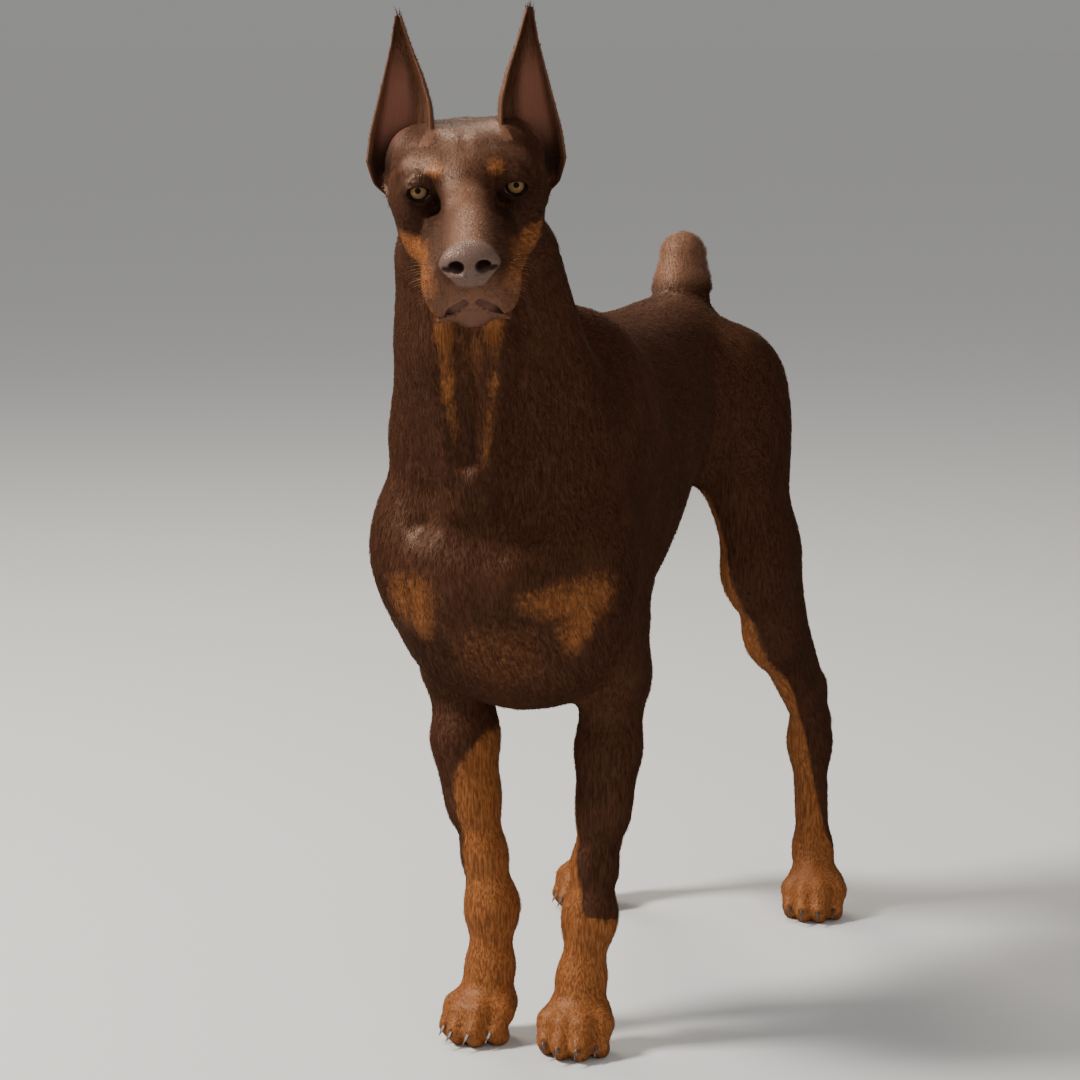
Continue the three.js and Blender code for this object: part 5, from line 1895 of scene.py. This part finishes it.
@dataclass(frozen=True)
class Claws:
    """Dark curved claws, one to a toe."""

    length: float = 15.0
    radius: float = 3.9
    slim: float = 0.72
    rings: int = 9
    around: int = 12
    lowest: float = 0.6

    def one(self, start: Points) -> list:
        """The rings of one claw, from its root forward and down to its point."""
        verts = []
        for i in range(self.rings):
            t = i / (self.rings - 1)
            bend = math.radians(20 + 50 * t)
            ahead = self.length * t * math.cos(math.radians(24))
            centre = start + np.array([0, -ahead, -self.length * 0.62 * t**1.35])
            r = self.radius * (1 - 0.93 * t**1.5)
            for j in range(self.around):
                a = 2 * math.pi * j / self.around
                up = r * math.sin(a)
                across = r * self.slim * math.cos(a)
                verts.append(centre + np.array([across, up * math.sin(bend), up * math.cos(bend)]))
        return verts

    def build(self) -> bpy.types.Object:
        """All claws as one piece."""
        verts, quads = [], []
        for paw in PAWS.values():
            m = np.array(paw.matrix())
            for x, back in paw.toes:
                start = np.array([x * paw.size * 1.05, -47 + back, 17.5])
                part = np.array(self.one(start)) @ m[:3, :3].T + m[:3, 3]
                part[:, 2] = np.maximum(part[:, 2], self.lowest)
                quads.append(len(verts) * len(part) + ring_quads(self.rings, self.around))
                verts.append(part)
        return mesh_object("claws", to_metres(np.concatenate(verts)), [np.concatenate(quads)])

    def dress(self, thing: bpy.types.Object) -> None:
        """Gives the claws their finish and their place on the body."""
        thing.data.materials.append(Horn().build())
        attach(thing, "root")


@dataclass(frozen=True)
class Lamp:
    """A square soft light aimed at a point, with or without a mirror image of itself."""

    name: str
    place: Sequence[float]
    target: Sequence[float]
    power: float
    size: float
    tint: Sequence[float]
    glare: bool = True

    def build(self) -> None:
        """Adds the light to the scene."""
        data = bpy.data.lights.new(self.name, "AREA")
        data.energy = self.power
        data.size = self.size
        data.color = self.tint
        lamp = bpy.data.objects.new(self.name, data)
        lamp.location = self.place
        lamp.visible_glossy = self.glare
        aim = Vector(self.target) - Vector(self.place)
        lamp.rotation_euler = aim.to_track_quat("-Z", "Y").to_euler()
        bpy.context.scene.collection.objects.link(lamp)


@dataclass(frozen=True)
class Studio:
    """Pale floor, soft lights and the camera at the photograph's angle."""

    floor_size: float = 150.0
    floor_tone: Tone = Tone(0.74, 0.74, 0.73)
    horizon: Tone = Tone(0.291, 0.289, 0.285)
    overhead: Tone = Tone(0.395, 0.392, 0.386)
    lamps: Sequence[Lamp] = (
        Lamp("key", (-2.4, -1.5, 3.3), (0, -0.1, 0.5), 230, 0.9, (1.0, 0.96, 0.90)),
        Lamp("fill", (2.6, -3.4, 1.3), (0, 0, 0.5), 46, 2.6, (1.0, 0.97, 0.94), False),
        Lamp("behind", (-1.7, 1.9, 3.6), (0, 0, 0.6), 60, 1.2, (1.0, 0.88, 0.74)),
    )
    azimuth: float = 20.46
    pitch: float = 8.661
    distance: float = 3.145
    aside: float = -0.0106
    height: float = 0.972
    focal_pixels: float = 3358.0
    frame_pixels: float = 1080
    sensor: float = 36
    reach: float = 500

    def floor(self) -> None:
        """A wide pale floor that leaves no mirror image in the coat."""
        corners = ((-1, -1), (1, -1), (1, 1), (-1, 1))
        points = np.array([[x * self.floor_size, y * self.floor_size, 0] for x, y in corners], float)
        thing = mesh_object("studio_floor", points, [np.array([[0, 1, 2, 3]])])
        material, _, shader = new_material("pale_floor")
        shader.inputs["Base Color"].default_value = self.floor_tone.rgba()
        shader.inputs["Specular IOR Level"].default_value = 0.0
        shader.inputs["Roughness"].default_value = 0.85
        thing.data.materials.append(material)
        thing.visible_glossy = False

    def lights(self) -> None:
        """A high key light, a broad fill, a light from behind, and a sky that meets the floor."""
        for lamp in self.lamps:
            lamp.build()
        world = bpy.data.worlds.new("studio")
        bpy.context.scene.world = world
        world.use_nodes = True
        world.cycles_visibility.glossy = False
        kit = NodeKit(world.node_tree)
        sky = kit.node("ShaderNodeSeparateXYZ")
        kit.link(kit.node("ShaderNodeTexCoord").outputs["Generated"], sky.inputs[0])
        rise = kit.span(sky.outputs[2], 0.0, 0.45)
        colour = kit.blend(rise, self.horizon.rgba(), self.overhead.rgba())
        background = world.node_tree.nodes["Background"]
        kit.link(colour, background.inputs[0])
        background.inputs[1].default_value = 1.0

    def camera(self) -> None:
        """The photograph's view: from the front left, a little above the head."""
        azimuth, pitch = math.radians(self.azimuth), math.radians(self.pitch)
        ahead = Vector((-math.sin(azimuth), math.cos(azimuth), 0))
        right = Vector((math.cos(azimuth), math.sin(azimuth), 0))
        foot = Vector((0, -0.130, 0)) + Vector(ORIGIN_SHIFT * MM)
        place = foot - ahead * self.distance - right * self.aside + Vector((0, 0, self.height))
        look = ahead * math.cos(pitch) + Vector((0, 0, -math.sin(pitch)))
        data = bpy.data.cameras.new("view")
        data.sensor_width = self.sensor
        data.sensor_fit = "HORIZONTAL"
        data.lens = self.sensor * self.focal_pixels / self.frame_pixels
        data.clip_end = self.reach
        camera = bpy.data.objects.new("view", data)
        camera.location = place
        camera.rotation_euler = look.to_track_quat("-Z", "Y").to_euler()
        bpy.context.scene.collection.objects.link(camera)
        bpy.context.scene.camera = camera


@dataclass
class Skin:
    """The skin over all of the body, finer on the head and finest at eyes, nose and lips."""

    flesh: Flesh
    step: float = 3.0
    quick_step: float = 4.0
    lip_width: float = 9

    def fine(self, q: Points) -> Points:
        """Which places, in the head's frame, are split a second time: eyes, nose and lips."""
        ex, ey, ez = HEAD.eye
        across = (np.abs(q[:, 0]) - ex) / 21
        eye = across**2 + ((q[:, 1] - ey + 8) / 22) ** 2 + ((q[:, 2] - ez) / 17) ** 2 < 1
        lip = np.zeros(len(q), bool)
        for side in (1, -1):
            for a, b in mouth_steps(side):
                lip |= Markings.bar(q, a, b, self.lip_width, self.lip_width) > 0.3
        return eye | (q[:, 1] < -112) | lip

    def build(self) -> tuple[SkinMesh, Points]:
        """The skin with the ear leaves joined on.

        Returns:
            The mesh and the outward directions at its points.
        """
        mesher = SkinMesher(self.flesh, self.step)
        skin = mesher.mesh()
        back = np.array(HEAD.matrix().inverted())
        for level in range(2):
            q = skin.points[skin.quads].mean(1) @ back[:3, :3].T + back[:3, 3]
            on_head = (q[:, 1] < 105) & (q[:, 2] > -110) & (np.abs(q[:, 0]) < 110)
            skin = mesher.split(skin, self.fine(q) if level else on_head)
        normal = unit(self.flesh.slope(skin.points))
        for side in (1, -1):
            points, faces = EarLeaf(side).mesh()
            skin.quads = np.concatenate([skin.quads, faces + len(skin.points)])
            skin.points = np.concatenate([skin.points, points])
            normal = np.concatenate([normal, vertex_normals(points, faces)])
        LOG.info("skin: %d points, %d quads", len(skin.points), len(skin.quads))
        return skin, normal

    def dress(self, skin: SkinMesh, flow: Points, markings: Markings, material: bpy.types.Material) -> None:
        """Makes the skin's piece with its markings, in the place of all flesh nodes.

        Args:
            skin: the mesh.
            flow: the lie of the coat at its points.
            markings: where the coat is rust or bare, and where shade is painted or the eyelid rims are
                dark.
            material: the coat's finish with bump.
        """
        thing = mesh_object("skin", to_metres(skin.points), [skin.quads], skin.others)
        dress_points(thing, skin.points, flow, markings)
        thing.data.materials.append(material)
        flesh_nodes = [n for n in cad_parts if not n.startswith("eye_")]
        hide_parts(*flesh_nodes)
        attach(thing, "root")


class Dog:
    """Builds and dresses the whole dog, part by part."""

    coat_depth: float = 1.2

    def __init__(self) -> None:
        """Prepares what the parts share."""
        self.flesh = Flesh(self.coat_depth)
        self.markings = Markings()
        self.lie = Lie()
        finish = CoatFinish(CoatTones(), GrainGroup.build())
        self.skin_material = finish.build("coat_skin", False)
        self.strand_material = finish.build("coat_strands", True)

    def body(self) -> SkinMesh:
        """The skin, built and dressed."""
        part = Skin(self.flesh)
        skin, normal = part.build()
        flow = self.lie.along(skin.points, normal)
        part.dress(skin, flow, self.markings, self.skin_material)
        return skin

    def eyes_and_claws(self) -> None:
        """The eyeballs and claws, built and dressed."""
        for part in (Eye(1), Eye(-1), Claws()):
            part.dress(part.build())

    def coat(self, skin: SkinMesh) -> None:
        """The strands and the whiskers, built and dressed."""
        coat = Coat(self.markings, self.lie)
        for piece in coat.build(skin):
            coat.dress(piece, self.strand_material)
        coat.dress(Whiskers().build(self.flesh, self.markings, self.lie), self.strand_material)


def main() -> None:
    """Builds the studio, the skin, the eyes and claws and the coat."""
    logging.basicConfig(level=logging.INFO, format="%(name)s: %(message)s")
    studio = Studio()
    studio.camera()
    studio.floor()
    studio.lights()
    dog = Dog()
    skin = dog.body()
    LOG.info("skin piece made")
    dog.eyes_and_claws()
    LOG.info("eyes and claws made")
    dog.coat(skin)
    LOG.info("boxes written")


if __name__ == "__main__":
    main()
